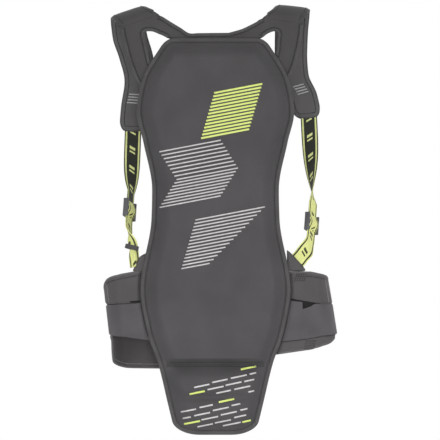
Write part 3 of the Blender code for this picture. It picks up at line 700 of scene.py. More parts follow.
def rings_along(line, across, profile):
    """Rings of a profile (across, off the face) along a line, given its width direction."""
    across = unit(np.broadcast_to(across, line.shape))
    face = unit(np.cross(across, tangents(line)))
    profile = np.broadcast_to(profile, (len(line), *np.shape(profile)[-2:]))
    return line[:, None] + across[:, None] * profile[..., :1] + face[:, None] * profile[..., 1:]


def round_profile(wide, thick, count, square=2.0):
    """A rounded section: 2 is an ellipse, and more is squarer."""
    turn = np.linspace(0, 2 * math.pi, count, endpoint=False)
    waves = np.stack([np.cos(turn), np.sin(turn)], axis=1)
    return np.sign(waves) * np.abs(waves) ** (2 / square) * (wide / 2, thick / 2)


def woven(first, second):
    """Lay attribute of a grid of points, from its first two values."""
    return np.stack(np.broadcast_arrays(first, second, 0.0), axis=-1).reshape(-1, 3)


def piping(name, line, radius, finish):
    """A round cord in its cover along a line of points."""
    side = np.cross(tangents(line), (0.31, 0.83, 0.46))
    section = round_profile(2 * radius, 2 * radius, PIPING_SIDES)
    return bars(name, [rings_along(line, side, section)], finish)


def closed_grid(name, front, back, finish, lay=None):
    """A closed pad from two grids of points, one for each face."""
    rows, columns = front.shape[:2]
    count = rows * columns
    faces = grid_quads(rows, columns)
    faces += [[count + i for i in face[::-1]] for face in faces]
    index = np.arange(count).reshape(rows, columns)
    loop = np.concatenate([index[0], index[1:, -1], index[-1, -2::-1], index[-2:0:-1, 0]]).tolist()
    for a, b in zip(loop, loop[1:] + loop[:1]):
        faces.append([a, b, b + count, a + count])
    made = piece(name, np.vstack([front.reshape(-1, 3), back.reshape(-1, 3)]), faces, [finish], lay)
    made.data.set_sharp_from_angle(angle=math.radians(50))
    return made


def in_cloth(points, rims):
    """Which (x, z) points lie inside the first outline and outside the rest, which are its holes."""
    return inside(points, rims[0]) & ~np.any([inside(points, rim) for rim in rims[1:]], axis=0)


def off_rims(points, rims):
    return np.min([distance_to(points, rim) for rim in rims], axis=0)


def soft_plate(name, outlines, shape, finish, step, edge_step=2.0):
    """A flat pad inside outlines (the first is its edge, the rest are holes): shape gives its
    front and back y from each point's place and its distance from the edge."""
    rims = [even(outline, edge_step, closed=True) for outline in outlines]
    low, high = rims[0].min(axis=0), rims[0].max(axis=0)
    row_step = step * 0.87
    xs, zs = np.meshgrid(np.arange(low[0], high[0], step), np.arange(low[1], high[1], row_step))
    xs = xs + (np.arange(len(xs)) % 2 * step / 2)[:, None]
    inner = np.stack([xs.ravel(), zs.ravel()], axis=1)
    inner = inner[in_cloth(inner, rims)]
    inner = inner[off_rims(inner, rims) > step * 0.45]
    edges = []
    for rim in rims:
        ring = len(edges) + np.arange(len(rim))
        edges += np.stack([ring, np.roll(ring, -1)], axis=1).tolist()
    points = [Vector(point) for point in np.vstack([*rims, inner])]
    flat, _, faces, *_ = delaunay_2d_cdt(points, edges, [], 0, 1e-5)
    flat = np.array([tuple(point) for point in flat])
    middles = np.array([flat[list(face)].mean(axis=0) for face in faces])
    faces = [list(face) for face, kept in zip(faces, in_cloth(middles, rims)) if kept]
    from_edge = off_rims(flat, rims)
    front, back = shape(flat, from_edge)
    on_rim = from_edge < 1e-3
    front = np.where(on_rim, (front + back) / 2, front)
    other = np.arange(len(flat)) + np.where(on_rim, 0, len(flat))
    faces += [other[face[::-1]].tolist() for face in faces]
    return piece(name, np.vstack([raised(flat, front), raised(flat, back)]), faces, [finish])


# Materials

def linear(hex_colour):
    """Linear RGBA of an sRGB hex colour."""
    values = [int(hex_colour[i:i + 2], 16) / 255 for i in (1, 3, 5)]
    return (*[v / 12.92 if v <= 0.04045 else ((v + 0.055) / 1.055) ** 2.4 for v in values], 1.0)


def scale_of(size_mm):
    """Texture scale of a pattern whose size is in millimetres."""
    return 1 / (size_mm * MM)


def feed(tree, made, inputs):
    """Sets a node's inputs: values, sockets to link from, or nodes, whose first live output is linked."""
    for key, value in inputs.items():
        if isinstance(value, bpy.types.Node):
            value = next(socket for socket in value.outputs if socket.enabled)
        if isinstance(value, bpy.types.NodeSocket):
            tree.links.new(value, made.inputs[key])
        else:
            made.inputs[key].default_value = value


def node(tree, kind, inputs=None, **settings):
    """A node with its settings and inputs."""
    made = tree.nodes.new(kind)
    for name, value in settings.items():
        setattr(made, name, value)
    feed(tree, made, inputs or {})
    return made


def start_material(name, roughness, sheen=0.0, specular=0.5, ior=1.5):
    """A bare material: its tree, its Object coordinates, and a function that gives it its colour and
    relief."""
    made = bpy.data.materials.new(name)
    made.use_nodes = True
    tree = made.node_tree
    shader = tree.nodes["Principled BSDF"]
    feed(tree, shader, {
        "Roughness": roughness, "Sheen Weight": sheen, "Sheen Roughness": 0.5,
        "Specular IOR Level": specular, "IOR": ior,
    })

    def finish(colour, height=None, strength=0.0, deep_mm=0.3, **settings):
        feed(tree, shader, {"Base Color": colour})
        if height is not None:
            sizes = {"Height": height, "Strength": strength, "Distance": deep_mm * MM}
            feed(tree, shader, {"Normal": node(tree, "ShaderNodeBump", sizes, **settings)})
        return made

    return tree, node(tree, "ShaderNodeTexCoord").outputs["Object"], finish


def mottled(tree, place, dark, light, size_mm):
    """Colour that wanders slowly between two shades, as dyed cloth does."""
    cloud = node(tree, "ShaderNodeTexNoise", {"Vector": place, "Scale": scale_of(size_mm), "Detail": 4.0})
    shade = node(tree, "ShaderNodeMapRange", {"Value": cloud, "From Min": 0.35, "From Max": 0.65})
    ends = {"Factor": shade, "A": linear(dark), "B": linear(light)}
    return node(tree, "ShaderNodeMix", ends, data_type="RGBA")


def tinted(tree, colour, value, low, high, start=0.0):
    """A colour made darker and lighter as a value goes from its start to 1."""
    sizes = {"Value": value, "From Min": start, "To Min": low, "To Max": high}
    tone = node(tree, "ShaderNodeMapRange", sizes)
    return node(tree, "ShaderNodeVectorMath", {0: colour, 1: tone}, operation="MULTIPLY")


def jersey_neoprene(name, dark, light, knit_mm=1.6, grain_mm=10 / 9):
    """Knit jersey bonded on neoprene: an even dull face with fine ribs and a soft sheen at grazing angles.
    The real ribs are about 0.7 mm apart, and are drawn coarser so that they show."""
    tree, place, finish = start_material(name, 0.8, sheen=0.06, specular=0.18)
    colour = mottled(tree, place, dark, light, size_mm=60.0)
    rib_scale = scale_of(knit_mm) / 20 * math.pi
    ribs = node(tree, "ShaderNodeTexWave", {
        "Vector": place, "Scale": rib_scale, "Distortion": 0.6, "Detail": 1.0,
    }, bands_direction="X").outputs["Fac"]
    rows = node(tree, "ShaderNodeTexWave", {
        "Vector": place, "Scale": rib_scale * 0.8, "Distortion": 0.8,
    }, bands_direction="Z").outputs["Fac"]
    knit = node(tree, "ShaderNodeMath", {0: ribs, 1: rows}, operation="MULTIPLY")
    grain = node(tree, "ShaderNodeTexNoise", {"Vector": place, "Scale": scale_of(grain_mm), "Detail": 2.0})
    return finish(tinted(tree, colour, grain, 0.93, 1.07), knit, 0.22)


def binding_tape(name, dark, light, grain_mm=10 / 7):
    """Folded knit edge tape: close to the cover in shade and a little shinier, with a fine grain."""
    tree, place, finish = start_material(name, 0.72, sheen=0.05, specular=0.22)
    colour = mottled(tree, place, dark, light, size_mm=25.0)
    grain = node(tree, "ShaderNodeTexNoise", {"Vector": place, "Scale": scale_of(grain_mm), "Detail": 3.0})
    return finish(colour, grain, 0.25)


def spacer_mesh(name, yarn, hole, pitch_mm=3.2):
    """Warp-knit spacer mesh: open round holes in staggered rows between raised yarns."""
    tree, place, finish = start_material(name, 0.85, sheen=0.1, specular=0.25)
    x, _, z = node(tree, "ShaderNodeSeparateXYZ", {"Vector": place}).outputs
    flat = node(tree, "ShaderNodeCombineXYZ", {"X": x, "Y": z})
    turned = node(tree, "ShaderNodeMapping", {"Vector": flat, "Rotation": (0.0, 0.0, math.pi / 4)})
    cells = node(tree, "ShaderNodeTexVoronoi", {
        "Vector": turned, "Scale": scale_of(pitch_mm), "Randomness": 0.0,
    }, voronoi_dimensions="2D")
    open_hole = node(tree, "ShaderNodeMapRange", {
        "Value": cells, "From Min": 0.24, "From Max": 0.4,
    }, interpolation_type="SMOOTHSTEP")
    ends = {"Factor": open_hole, "A": linear(hole), "B": linear(yarn)}
    return finish(node(tree, "ShaderNodeMix", ends, data_type="RGBA"), open_hole, 0.7, 0.8)


def ribbed_elastic(name, dark, light, rib_mm=1.7):
    """Knitted elastic: fine ribs along its length, read from the lay attribute (along, across), and a
    slight gloss."""
    tree, place, finish = start_material(name, 0.7, sheen=0.06, specular=0.22)
    lay = node(tree, "ShaderNodeAttribute", attribute_name="lay").outputs["Vector"]
    along, across, _ = node(tree, "ShaderNodeSeparateXYZ", {"Vector": lay}).outputs
    waves = []
    for way, pitch_mm in ((across, rib_mm), (along, rib_mm * 0.8)):
        turn = node(tree, "ShaderNodeMath", {0: way, 1: 2 * math.pi / pitch_mm}, operation="MULTIPLY")
        waves.append(node(tree, "ShaderNodeMath", {0: turn}, operation="SINE"))
    rib, pick = waves
    weave = node(tree, "ShaderNodeMath", {0: pick, 1: 0.35, 2: rib}, operation="MULTIPLY_ADD")
    return finish(mottled(tree, place, dark, light, size_mm=35.0), weave, 0.3)


def polyester_webbing(name, ground, mark):
    """Woven polyester tape: diagonal twill, a coloured line woven in along each edge, and short slanted
    dashes in its middle, all placed by the lay attribute (across, along)."""
    tree, place, finish = start_material(name, 0.7, sheen=0.06, specular=0.25)
    lay = node(tree, "ShaderNodeAttribute", attribute_name="lay").outputs["Vector"]
    across, along, _ = node(tree, "ShaderNodeSeparateXYZ", {"Vector": lay}).outputs
    wide = node(tree, "ShaderNodeMath", {0: across}, operation="ABSOLUTE")
    line = node(tree, "ShaderNodeMath", {0: wide, 1: WEAVE_LINE, 2: WEAVE_LINE_HALF}, operation="COMPARE")
    lean = node(tree, "ShaderNodeMath", {0: across, 1: WEAVE_DASH_LEAN, 2: along}, operation="MULTIPLY_ADD")
    turn = node(tree, "ShaderNodeMath", {0: lean, 1: WEAVE_REPEAT}, operation="FLOORED_MODULO")
    long_dash, short_dash = (
        node(tree, "ShaderNodeMath", {0: turn, 1: centre, 2: half}, operation="COMPARE")
        for centre, half in WEAVE_DASHES
    )
    dashes = node(tree, "ShaderNodeMath", {0: long_dash, 1: short_dash}, operation="MAXIMUM")
    middle = node(tree, "ShaderNodeMath", {0: wide, 1: WEAVE_DASH_REACH}, operation="LESS_THAN")
    inner = node(tree, "ShaderNodeMath", {0: dashes, 1: middle}, operation="MULTIPLY")
    shown = node(tree, "ShaderNodeMath", {0: line, 1: inner}, operation="MAXIMUM")
    twill = node(tree, "ShaderNodeMath", {0: across, 1: TWILL_LEAN, 2: along}, operation="MULTIPLY_ADD")
    yarn = node(tree, "ShaderNodeMath", {0: twill, 1: 2 * math.pi / TWILL_PITCH}, operation="MULTIPLY")
    wave = node(tree, "ShaderNodeMath", {0: yarn}, operation="SINE")
    ends = {"Factor": shown, "A": linear(ground), "B": linear(mark)}
    colour = node(tree, "ShaderNodeMix", ends, data_type="RGBA")
    return finish(tinted(tree, colour, wave, 0.86, 1.06, start=-1.0), wave, 0.35)


def moulded_acetal(name, colour, grain_mm=2 / 3):
    """Moulded acetal: dark, satin, with a faint spark-eroded grain."""
    tree, place, finish = start_material(name, 0.4, ior=1.48)
    grain = node(tree, "ShaderNodeTexNoise", {"Vector": place, "Scale": scale_of(grain_mm), "Detail": 2.0})
    return finish(tinted(tree, linear(colour)[:3], grain, 0.9, 1.1), grain, 0.15, 0.2)


def touch_tape(name, dark, light, pile_mm):
    """Nylon hook or loop tape: a field of tiny hooks or fuzz that breaks the light into specks."""
    tree, place, finish = start_material(name, 0.8, sheen=0.2, specular=0.3)
    cells = {"Vector": place, "Scale": scale_of(pile_mm), "Randomness": 0.5}
    pile = node(tree, "ShaderNodeTexVoronoi", cells)
    ends = {"Factor": pile, "A": linear(light), "B": linear(dark)}
    return finish(node(tree, "ShaderNodeMix", ends, data_type="RGBA"), pile, 0.6, 0.6, invert=True)


def transfer_print(name, dark, light):
    """Heat-transfer print film: flat, slightly worn, a little smoother than the cloth under it."""
    tree, place, finish = start_material(name, 0.55, specular=0.4)
    return finish(mottled(tree, place, dark, light, size_mm=6.0))


def sewing_thread(name, colour, twist_mm=2.5):
    """Spun polyester thread: dull, with its twist showing as fine slanted lines."""
    tree, place, finish = start_material(name, 0.7, sheen=0.2)
    twist = node(tree, "ShaderNodeTexWave", {
        "Vector": place, "Scale": scale_of(twist_mm), "Distortion": 2.0,
    }, bands_direction="DIAGONAL")
    return finish(tinted(tree, linear(colour)[:3], twist.outputs["Fac"], 0.8, 1.1))


# Sewing

def running_stitch(thread):
    """Node tree that lays one stitch after another along the edges of a mesh."""
    tree = bpy.data.node_groups.new("running_stitch", "GeometryNodeTree")
    tree.interface.new_socket("Geometry", in_out="INPUT", socket_type="NodeSocketGeometry")
    for label, size in (("Pitch", 0.0035), ("Stitch Length", 0.0026), ("Thread Width", 0.0007)):
        socket = tree.interface.new_socket(label, in_out="INPUT", socket_type="NodeSocketFloat")
        socket.default_value = size
    tree.interface.new_socket("Geometry", in_out="OUTPUT", socket_type="NodeSocketGeometry")
    given = node(tree, "NodeGroupInput").outputs
    line = node(tree, "GeometryNodeMeshToCurve", {"Mesh": given["Geometry"]})
    spaced = node(tree, "GeometryNodeResampleCurve", {"Curve": line, "Length": given["Pitch"]}, mode="LENGTH")
    way = node(tree, "GeometryNodeInputTangent")
    turned = node(tree, "FunctionNodeAlignRotationToVector", {"Vector": way}, axis="Z")
    bead = node(tree, "GeometryNodeMeshUVSphere", {"Segments": 6, "Rings": 4, "Radius": 0.5})
    wide = given["Thread Width"]
    size = node(tree, "ShaderNodeCombineXYZ", {"X": wide, "Y": wide, "Z": given["Stitch Length"]})
    laid = node(tree, "GeometryNodeInstanceOnPoints", {
        "Points": spaced, "Instance": bead, "Rotation": turned, "Scale": size,
    })
    real = node(tree, "GeometryNodeRealizeInstances", {"Geometry": laid})
    soft = node(tree, "GeometryNodeSetShadeSmooth", {"Geometry": real})
    done = node(tree, "GeometryNodeSetMaterial", {"Geometry": soft, "Material": thread})
    node(tree, "NodeGroupOutput", {"Geometry": done})
    return tree


def stitched(name, lines, tree, sizes=None, closed=False):
    """Stitches along lines of points, as one plain mesh."""
    points = []
    edges = []
    for line in lines:
        start = len(points)
        points += [tuple(point) for point in line]
        edges += [(start + i, start + i + 1) for i in range(len(line) - 1)]
        if closed:
            edges.append((start + len(line) - 1, start))
    mesh = bpy.data.meshes.new(name + "_line")
    mesh.from_pydata(metres(points).tolist(), edges, [])
    path = add_object(name + "_line", mesh)
    change = path.modifiers.new("stitch", "NODES")
    change.node_group = tree
    for item in tree.interface.items_tree:
        if sizes and item.in_out == "INPUT" and item.name in sizes:
            change[item.identifier] = sizes[item.name]
    depsgraph = bpy.context.evaluated_depsgraph_get()
    sewn = bpy.data.meshes.new_from_object(path.evaluated_get(depsgraph))
    bpy.data.objects.remove(path)
    return add_object(name, sewn)


# Panel

def edge_half(z):
    """Half the panel's width at a height."""
    return smooth(EDGE_CURVE, z)


def right_edge():
    """(x, z) points up the right edge, from the tail's level end round both corners to the top."""

    def rounded(wide, z, turn):
        return np.stack([edge_half(z) - wide * (1 - np.cos(turn)), z], axis=1)

    wide, high = TAIL_CORNER
    low_turn = np.linspace(math.pi / 2, 0.0, 16)
    top_turn = np.linspace(0.0, math.pi / 2, 9)
    return np.vstack([
        rounded(wide, high * (1 - np.sin(low_turn)), low_turn),
        rounded(0.0, np.linspace(high, PANEL_TOP - TOP_CORNER, 220)[1:-1], 0.0),
        rounded(TOP_CORNER, PANEL_TOP - TOP_CORNER * (1 - np.sin(top_turn)), top_turn),
    ])


RIGHT_EDGE = right_edge()
PANEL_EDGE = even(np.vstack([RIGHT_EDGE, RIGHT_EDGE[::-1] * (-1, 1)]), PANEL_EDGE_STEP, closed=True)


def panel_swell(flat):
    """How far the cover stands off its flat rim at (x, z) points: a foam body with rolled shoulders,
    a deep crease above the tail, and a faint one across it."""
    x, z = flat[:, 0], flat[:, 1]
    from_edge = distance_to(flat, PANEL_EDGE)
    loose = ease(from_edge, *LOOSE_FROM_EDGE)
    half = np.maximum(np.interp(z, RIGHT_EDGE[:, 1], RIGHT_EDGE[:, 0]), 1.0)
    rise = CROWN + CENTRE_RISE * (1 - (x / half) ** 2)
    rise = rise * ease(from_edge, SHOULDER_START, SHOULDER_START + SHOULDER_RUN)
    off_fold = z - FOLD_Z
    above = ease(off_fold, CREASE_START, CREASE_ABOVE)
    below = ease(-off_fold, CREASE_START, CREASE_BELOW)
    rise *= np.where(off_fold > 0, above, below)
    rise -= CREASE_SINK * np.exp(-(off_fold / CREASE_WIDE) ** 2) * loose
    rise *= 1 - TAIL_FOLD_SHARE * np.exp(-((z - TAIL_FOLD_Z) / TAIL_FOLD_WIDE) ** 2)
    return rise + COVER_WAVE * ripple(raised(flat, 0.0), scale=90.0, seed=3) * loose


def panel_front(flat):
    """y of the cover's face at (x, z) points."""
    return -(RIM_FRONT + panel_swell(flat))


def liner_face(flat):
    """y of the liner's body side: soft pads between shallow air channels that run down to the spine."""
    x, z = flat[:, 0], flat[:, 1]
    from_edge = distance_to(flat, PANEL_EDGE)
    lean_x, lean_z = CHANNEL_LEAN
    slope = np.abs(z * lean_z - np.abs(x) * lean_x)
    chevron = np.abs(slope % CHANNEL_PITCH - CHANNEL_PITCH / 2)
    channel = np.exp(-(chevron / CHANNEL_HALF) ** 2)
    channel = np.maximum(channel, np.exp(-(x / SPINE_HALF) ** 4))
    channel = np.maximum(channel, 1 - ease(from_edge, *CHANNEL_RIM))
    return -CHANNEL_DEEP * channel


def panel_grid(inset):
    """Rows of (x, z) points over the whole panel, closer together near its edge."""
    offs = np.array(EDGE_STEPS)
    rows = []
    for half, _ in RIGHT_EDGE:
        near = half - inset - offs * min(1.0, NARROW_SHARE * half / offs[-1])
        right = np.concatenate([near, np.linspace(near[-1], 0.0, 24)[1:]])
        rows.append(np.concatenate([-right, right[-2::-1]]))
    zs = np.clip(RIGHT_EDGE[:, 1], RIGHT_EDGE[0, 1] + inset, RIGHT_EDGE[-1, 1] - inset)
    zs = np.maximum.accumulate(zs + np.arange(len(zs)) * 1e-4)
    return np.stack(np.broadcast_arrays(rows, zs[:, None]), axis=2)


def over_grid(grid, height):
    """Places over a grid of (x, z) points, whose y a function gives."""
    return raised(grid, height(grid.reshape(-1, 2)).reshape(grid.shape[:2]))


def bound_edge(name, line, into, profile, finish, closed=False):
    """Edge tape folded over an edge: a line of (x, z), the way into the cloth, and (inset, y) of its
    section."""
    inset, y = np.array(profile, float).T
    rings = raised(line[:, None] + into[:, None] * inset[:, None], y)
    return bars(name, [rings], finish, closed=closed)


def folded_tape(wide, front, back, wall):
    """Section of tape folded over an edge whose faces are at y = -front and back."""
    return [
        (wide, -front + 0.7), (wide - 0.4, -front + 0.1), (wide * 0.55, -front - 0.25), (wall, -front + 0.1),
        (0.35, -front + wall * 0.6), (0.0, -front + wall * 1.5), (0.0, back - wall * 1.5),
        (0.35, back - wall * 0.6), (wall, back - 0.1), (wide * 0.55, back), (wide - 0.4, back - 0.05),
        (wide, back - 0.4), (wide * 0.5, back - wall * 0.7), (wall * 1.1, back - wall * 1.2),
        (wall * 1.1, -front + wall * 1.2), (wide * 0.5, -front + wall * 0.8),
    ]


def over_crease(made):
    """The piece bends with the tail across the crease."""
    start = metres((0.0, 0.0, FOLD_Z + CREASE_BEND))[0]
    end = metres((0.0, 0.0, FOLD_Z - CREASE_BEND))[0]
    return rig.blend(made, "panel", "tail", start=tuple(start), end=tuple(end))


def build_panel(looks, sewing):
    grid = panel_grid(COVER_INSET)
    front = over_grid(grid, panel_front)
    cover = closed_grid("panel_cover", front, raised(grid, -COVER_BACK), looks["cover"])
    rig.padded(over_crease(cover), fill=0.9)
    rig.replaces(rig.slot(cover, "cover"), "main_cover", "main_core", "tail_cover", "tail_core")
    grid = panel_grid(LINER_INSET)
    back = over_grid(grid, liner_face)
    liner = closed_grid("mesh_liner", raised(grid, -LINER_THICK), back, looks["liner"])
    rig.replaces(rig.slot(over_crease(liner), "liner"), "main_liner", "tail_liner")
    into = leftward(PANEL_EDGE, closed=True)
    section = folded_tape(BINDING_WIDE, BINDING_FRONT, BINDING_BACK, BINDING_WALL)
    binding = bound_edge("panel_binding", PANEL_EDGE, into, section, looks["tape"], closed=True)
    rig.replaces(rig.slot(over_crease(binding), "trim"), "main_binding", "tail_binding")
    seam = PANEL_EDGE + into * (BINDING_WIDE - SEAM_IN)
    lines = [raised(seam, y) for y in (-BINDING_FRONT, BINDING_BACK)]
    thread = stitched("panel_seam", lines, sewing, closed=True)
    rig.slot(over_crease(thread), "trim")
    reach = edge_half(FOLD_Z) - CREASE_SEAM_IN
    across = np.linspace(-reach, reach, 60)
    rows = []
    for z in CREASE_SEAMS:
        flat = np.stack(np.broadcast_arrays(across, FOLD_Z + z), axis=1)
        rows.append(raised(flat, panel_front(flat) - SEAM_LIFT))
    thread = stitched("crease_seam", rows, sewing, CLOSE_STITCH)
    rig.slot(over_crease(thread), "trim")


# Prints

def print_strip(line, wide):
    """Rings of a thin film strip that lies on the cover along a line of (x, z)."""
    side = leftward(line)
    rings = []
    for share, lift in FILM_SECTION:
        flat = line + side * (share * wide)
        rings.append(raised(flat, panel_front(flat) + lift))
    return np.stack(rings, axis=1)


def printed(name, dashes, lean, wide, finish):
    """Slanting film strips, each by its left end's x and height and its length, as one mesh on the cover."""
    strips = []
    for x, z, long in dashes:
        start, end = (x, z), (x + long, z + lean * long)
        steps = max(int(math.dist(start, end) / FILM_STEP), 3)
        strips.append(print_strip(np.linspace(start, end, steps + 1), wide))
    return bars(name, strips, finish)


def hatch(corner, starts, lengths):
    """Dashes one below another from a corner, each with its own start along the row and its length."""
    x, z = corner
    return list(zip(x + starts, z - HATCH_PITCH * np.arange(len(starts)), lengths))


def build_prints(looks):
    """Hatched blocks on the back, a leaning one, an arrow and a wedge, and staggered short dashes on
    the tail."""
    block = LEANING_BLOCK
    row = np.arange(block["rows"])
    lime = hatch(block["corner"], HATCH_SHIFT * row, np.full(len(row), block["long"]))
    block = ARROW_BLOCK
    row = np.arange(block["rows"])
    tip = len(row) // 2
    starts = block["tip_step"] * (tip - np.abs(row - tip))
    grey = hatch(block["corner"], starts, np.full(len(row), block["long"]))
    block = WEDGE_BLOCK
    row = np.arange(block["rows"])
    grey += hatch(block["corner"], HATCH_SHIFT * row, block["long"] - block["shorter"] * row)
    made = printed("back_print_lime", lime, HATCH_LEAN, LIME_DASH_WIDE, looks["print_lime"])
    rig.slot(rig.ride(made, "panel"), "webbing_lime")
    made = printed("back_print_grey", grey, HATCH_LEAN, HATCH_WIDE, looks["print_grey"])
    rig.slot(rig.ride(made, "panel"), "cover")
    made = printed("tail_dashes_lime", LIME_DASHES, DASH_LEAN, LIME_DASH_WIDE, looks["print_lime"])
    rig.slot(over_crease(made), "webbing_lime")
    made = printed("tail_dashes_grey", GREY_DASHES, DASH_LEAN, GREY_DASH_WIDE, looks["print_grey"])
    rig.slot(over_crease(made), "cover")


# Yoke and shoulder straps

def mirrored(side, points):
    """Points of the right-hand pattern on a side of the panel."""
    points = np.array(points, float)
    points[..., 0] *= side["sign"]
    return points


def inset_run(low, inset):
    """(x, z) points a little inside the panel's right edge, going up from a height to the top."""
    line = RIGHT_EDGE + leftward(RIGHT_EDGE) * inset
    return line[RIGHT_EDGE[:, 1] >= low]


def yoke_outlines():
    """The yoke's edge, and the two notches in it that the panel's edge closes."""
    halves = []
    notches = []
    for side in SIDES:
        out = spline(side["yoke"], CURVE_STEP)
        seam = np.subtract(side["strap"][1], side["strap"][0])[[0, 2]]
        ends = [side["yoke"][i] for i in (PEAK, CORNER)]
        start, stop = (int(np.argmin(np.linalg.norm(out - end, axis=1))) for end in ends)
        out[start + 1:stop] += unit(seam) * STRAP_LAP
        back = inset_run(side["yoke"][-1][1], YOKE_UNDER_PANEL)
        halves.append(mirrored(side, np.vstack([out, back])))
        edge = inset_run(side["notch"][0][1], NOTCH_UNDER_PANEL)[::-1]
        notches.append(mirrored(side, np.vstack([spline(side["notch"], CURVE_STEP), edge])))
    left, right = halves
    return [np.vstack([right, left[::-1]]), *notches]


def yoke_shape(flat, from_edge):
    """A thin laminate, pulled in at its sewn edges."""
    middle = -(YOKE_FRONT + YOKE_BACK) / 2
    half = (YOKE_FRONT - YOKE_BACK) / 2 * rolled(from_edge, EDGE_ROLL)
    soft = YOKE_WAVE * ripple(raised(flat, 0.0), scale=38.0, seed=8) * ease(from_edge, *YOKE_LOOSE)
    soft = soft * (1 - ease(flat[:, 1], *YOKE_FLAT_Z))
    return middle - half - soft, middle + half - soft


def cloth_side(line, outline):
    """Directions from a line of (x, z) on an outline into the cloth."""
    into = leftward(line)
    found = inside(line + into * 1.5, outline).mean()
    return into if found > 0.5 else -into


def build_yoke(looks, sewing):
    outline, *notches = yoke_outlines()
    made = soft_plate("yoke_pad", [outline, *notches], yoke_shape, looks["yoke"], step=3.2)
    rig.padded(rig.ride(made, "panel"), fill=0.5)
    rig.replaces(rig.slot(made, "cover"), "yoke")
    left, right = (mirrored(side, spline(side["yoke"][:PEAK + 1], CURVE_STEP)) for side in SIDES)
    neck = np.vstack([left[::-1], right])
    into = cloth_side(neck, outline)
    section = folded_tape(YOKE_TAPE, YOKE_FRONT + YOKE_TAPE_RISE, YOKE_TAPE_BACK, YOKE_TAPE_WALL)
    made = bound_edge("neck_tape", neck, into, section, looks["tape"])
    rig.replaces(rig.slot(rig.ride(made, "panel"), "trim"), "neck_binding")
    seams = [neck + into * (YOKE_TAPE - SEAM_IN)]
    for side, hole in zip(SIDES, notches):
        leg = mirrored(side, spline(side["yoke"][CORNER:], CURVE_STEP))
        notch = mirrored(side, spline(side["notch"], CURVE_STEP))
        tapes = (("leg", leg, cloth_side(leg, outline)), ("notch", notch, -cloth_side(notch, hole)))
        for label, line, into in tapes:
            made = bound_edge(side["name"] + "_" + label + "_tape", line, into, section, looks["tape"])
            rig.slot(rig.ride(made, "panel"), "trim")
            seams.append(line + into * (YOKE_TAPE - SEAM_IN))
    lines = [raised(seam, -(YOKE_FRONT + YOKE_SEAM_RISE)) for seam in seams]
    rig.slot(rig.ride(stitched("yoke_seams", lines, sewing, CLOSE_STITCH), "panel"), "trim")


def strap_frame(side):
    """Centres, width directions, widths and thicknesses along a shoulder strap."""
    stations = np.array(side["strap"])
    reach = distance_run(stations[:, :3])
    at = np.linspace(0.0, reach[-1], STRAP_ROWS)
    x, y, z, wide, lean = (smooth(list(zip(reach, column)), at) for column in stations.T)
    sign = side["sign"]
    line = np.stack([sign * x, y, z], axis=1)
    lean = np.radians(lean)
    across = np.stack([sign * np.cos(lean), np.zeros_like(lean), -np.sin(lean)], axis=1)
    turn = np.clip(1 - (at[-1] - at) / STRAP_END_ROUND, 0.0, 1.0)
    end = np.sqrt(np.maximum(1 - turn ** 2, 0.0))
    wide = wide * (STRAP_END_WIDE + (1 - STRAP_END_WIDE) * end)
    thick = STRAP_ROOT + (STRAP_THICK - STRAP_ROOT) * ease(at, *STRAP_SWELL)
    thick = thick * (STRAP_END_THICK + (1 - STRAP_END_THICK) * end)
    return line, across, wide, thick


def strap_rise(share, thick):
    """How far a strap's face stands off its middle at a share of its half width."""
    return (1 - np.abs(share) ** STRAP_SQUARE) ** (1 / STRAP_SQUARE) * thick / 2


def build_straps(looks, sewing):
    section = round_profile(2.0, 2.0, STRAP_SIDES, STRAP_SQUARE)
    turn = (np.arange(STRAP_SIDES) + 0.5) * 2 * math.pi / STRAP_SIDES
    for side in SIDES:
        name = side["name"]
        line, across, wide, thick = strap_frame(side)
        sizes = np.stack([wide, thick], axis=1) / 2
        rings = rings_along(line, across, section[None] * sizes[:, None])
        # faces on the strap's wearer side take the lighter strap jersey: painted light that offsets the shade on them
        lining = np.tile(np.sin(turn) * side["sign"] < 0, len(line) - 1)
        made = bars(name + "_strap", [rings], looks["yoke"], looks["strap"], marks=lining)
        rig.padded(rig.ride(made, "panel"), fill=0.8)
        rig.replaces(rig.slot(made, "cover"), name + "_strap_pad")
        right, left = (line + across * (hand * wide / 2)[:, None] for hand in (1, -1))
        end = line[-1] + unit(line[-1] - line[-2]) * PIPING_END
        run = even(np.vstack([right[PIPING_START:], end[None], left[PIPING_START:][::-1]]), step=3.0)
        made = piping(name + "_strap_piping", run, PIPING, looks["tape"])
        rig.replaces(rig.slot(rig.ride(made, "panel"), "trim"), name + "_strap_binding")
        face = unit(np.cross(across, tangents(line)))
        share = 1 - 2 * STRAP_SEAM_IN / wide
        seams = []
        for over in (1, -1):
            rise = face * (over * strap_rise(share, thick))[:, None]
            runs = [(line + across * (hand * share * wide / 2)[:, None] + rise)[3:-3] for hand in (1, -1)]
            seams.append(np.vstack([runs[0], runs[1][::-1]]))
        made = stitched(name + "_strap_seams", seams, sewing, CLOSE_STITCH)
        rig.slot(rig.ride(made, "panel"), "trim")
        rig.slot(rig.ride(build_tacks(side, line, across, wide, thick, looks), "panel"), "trim")


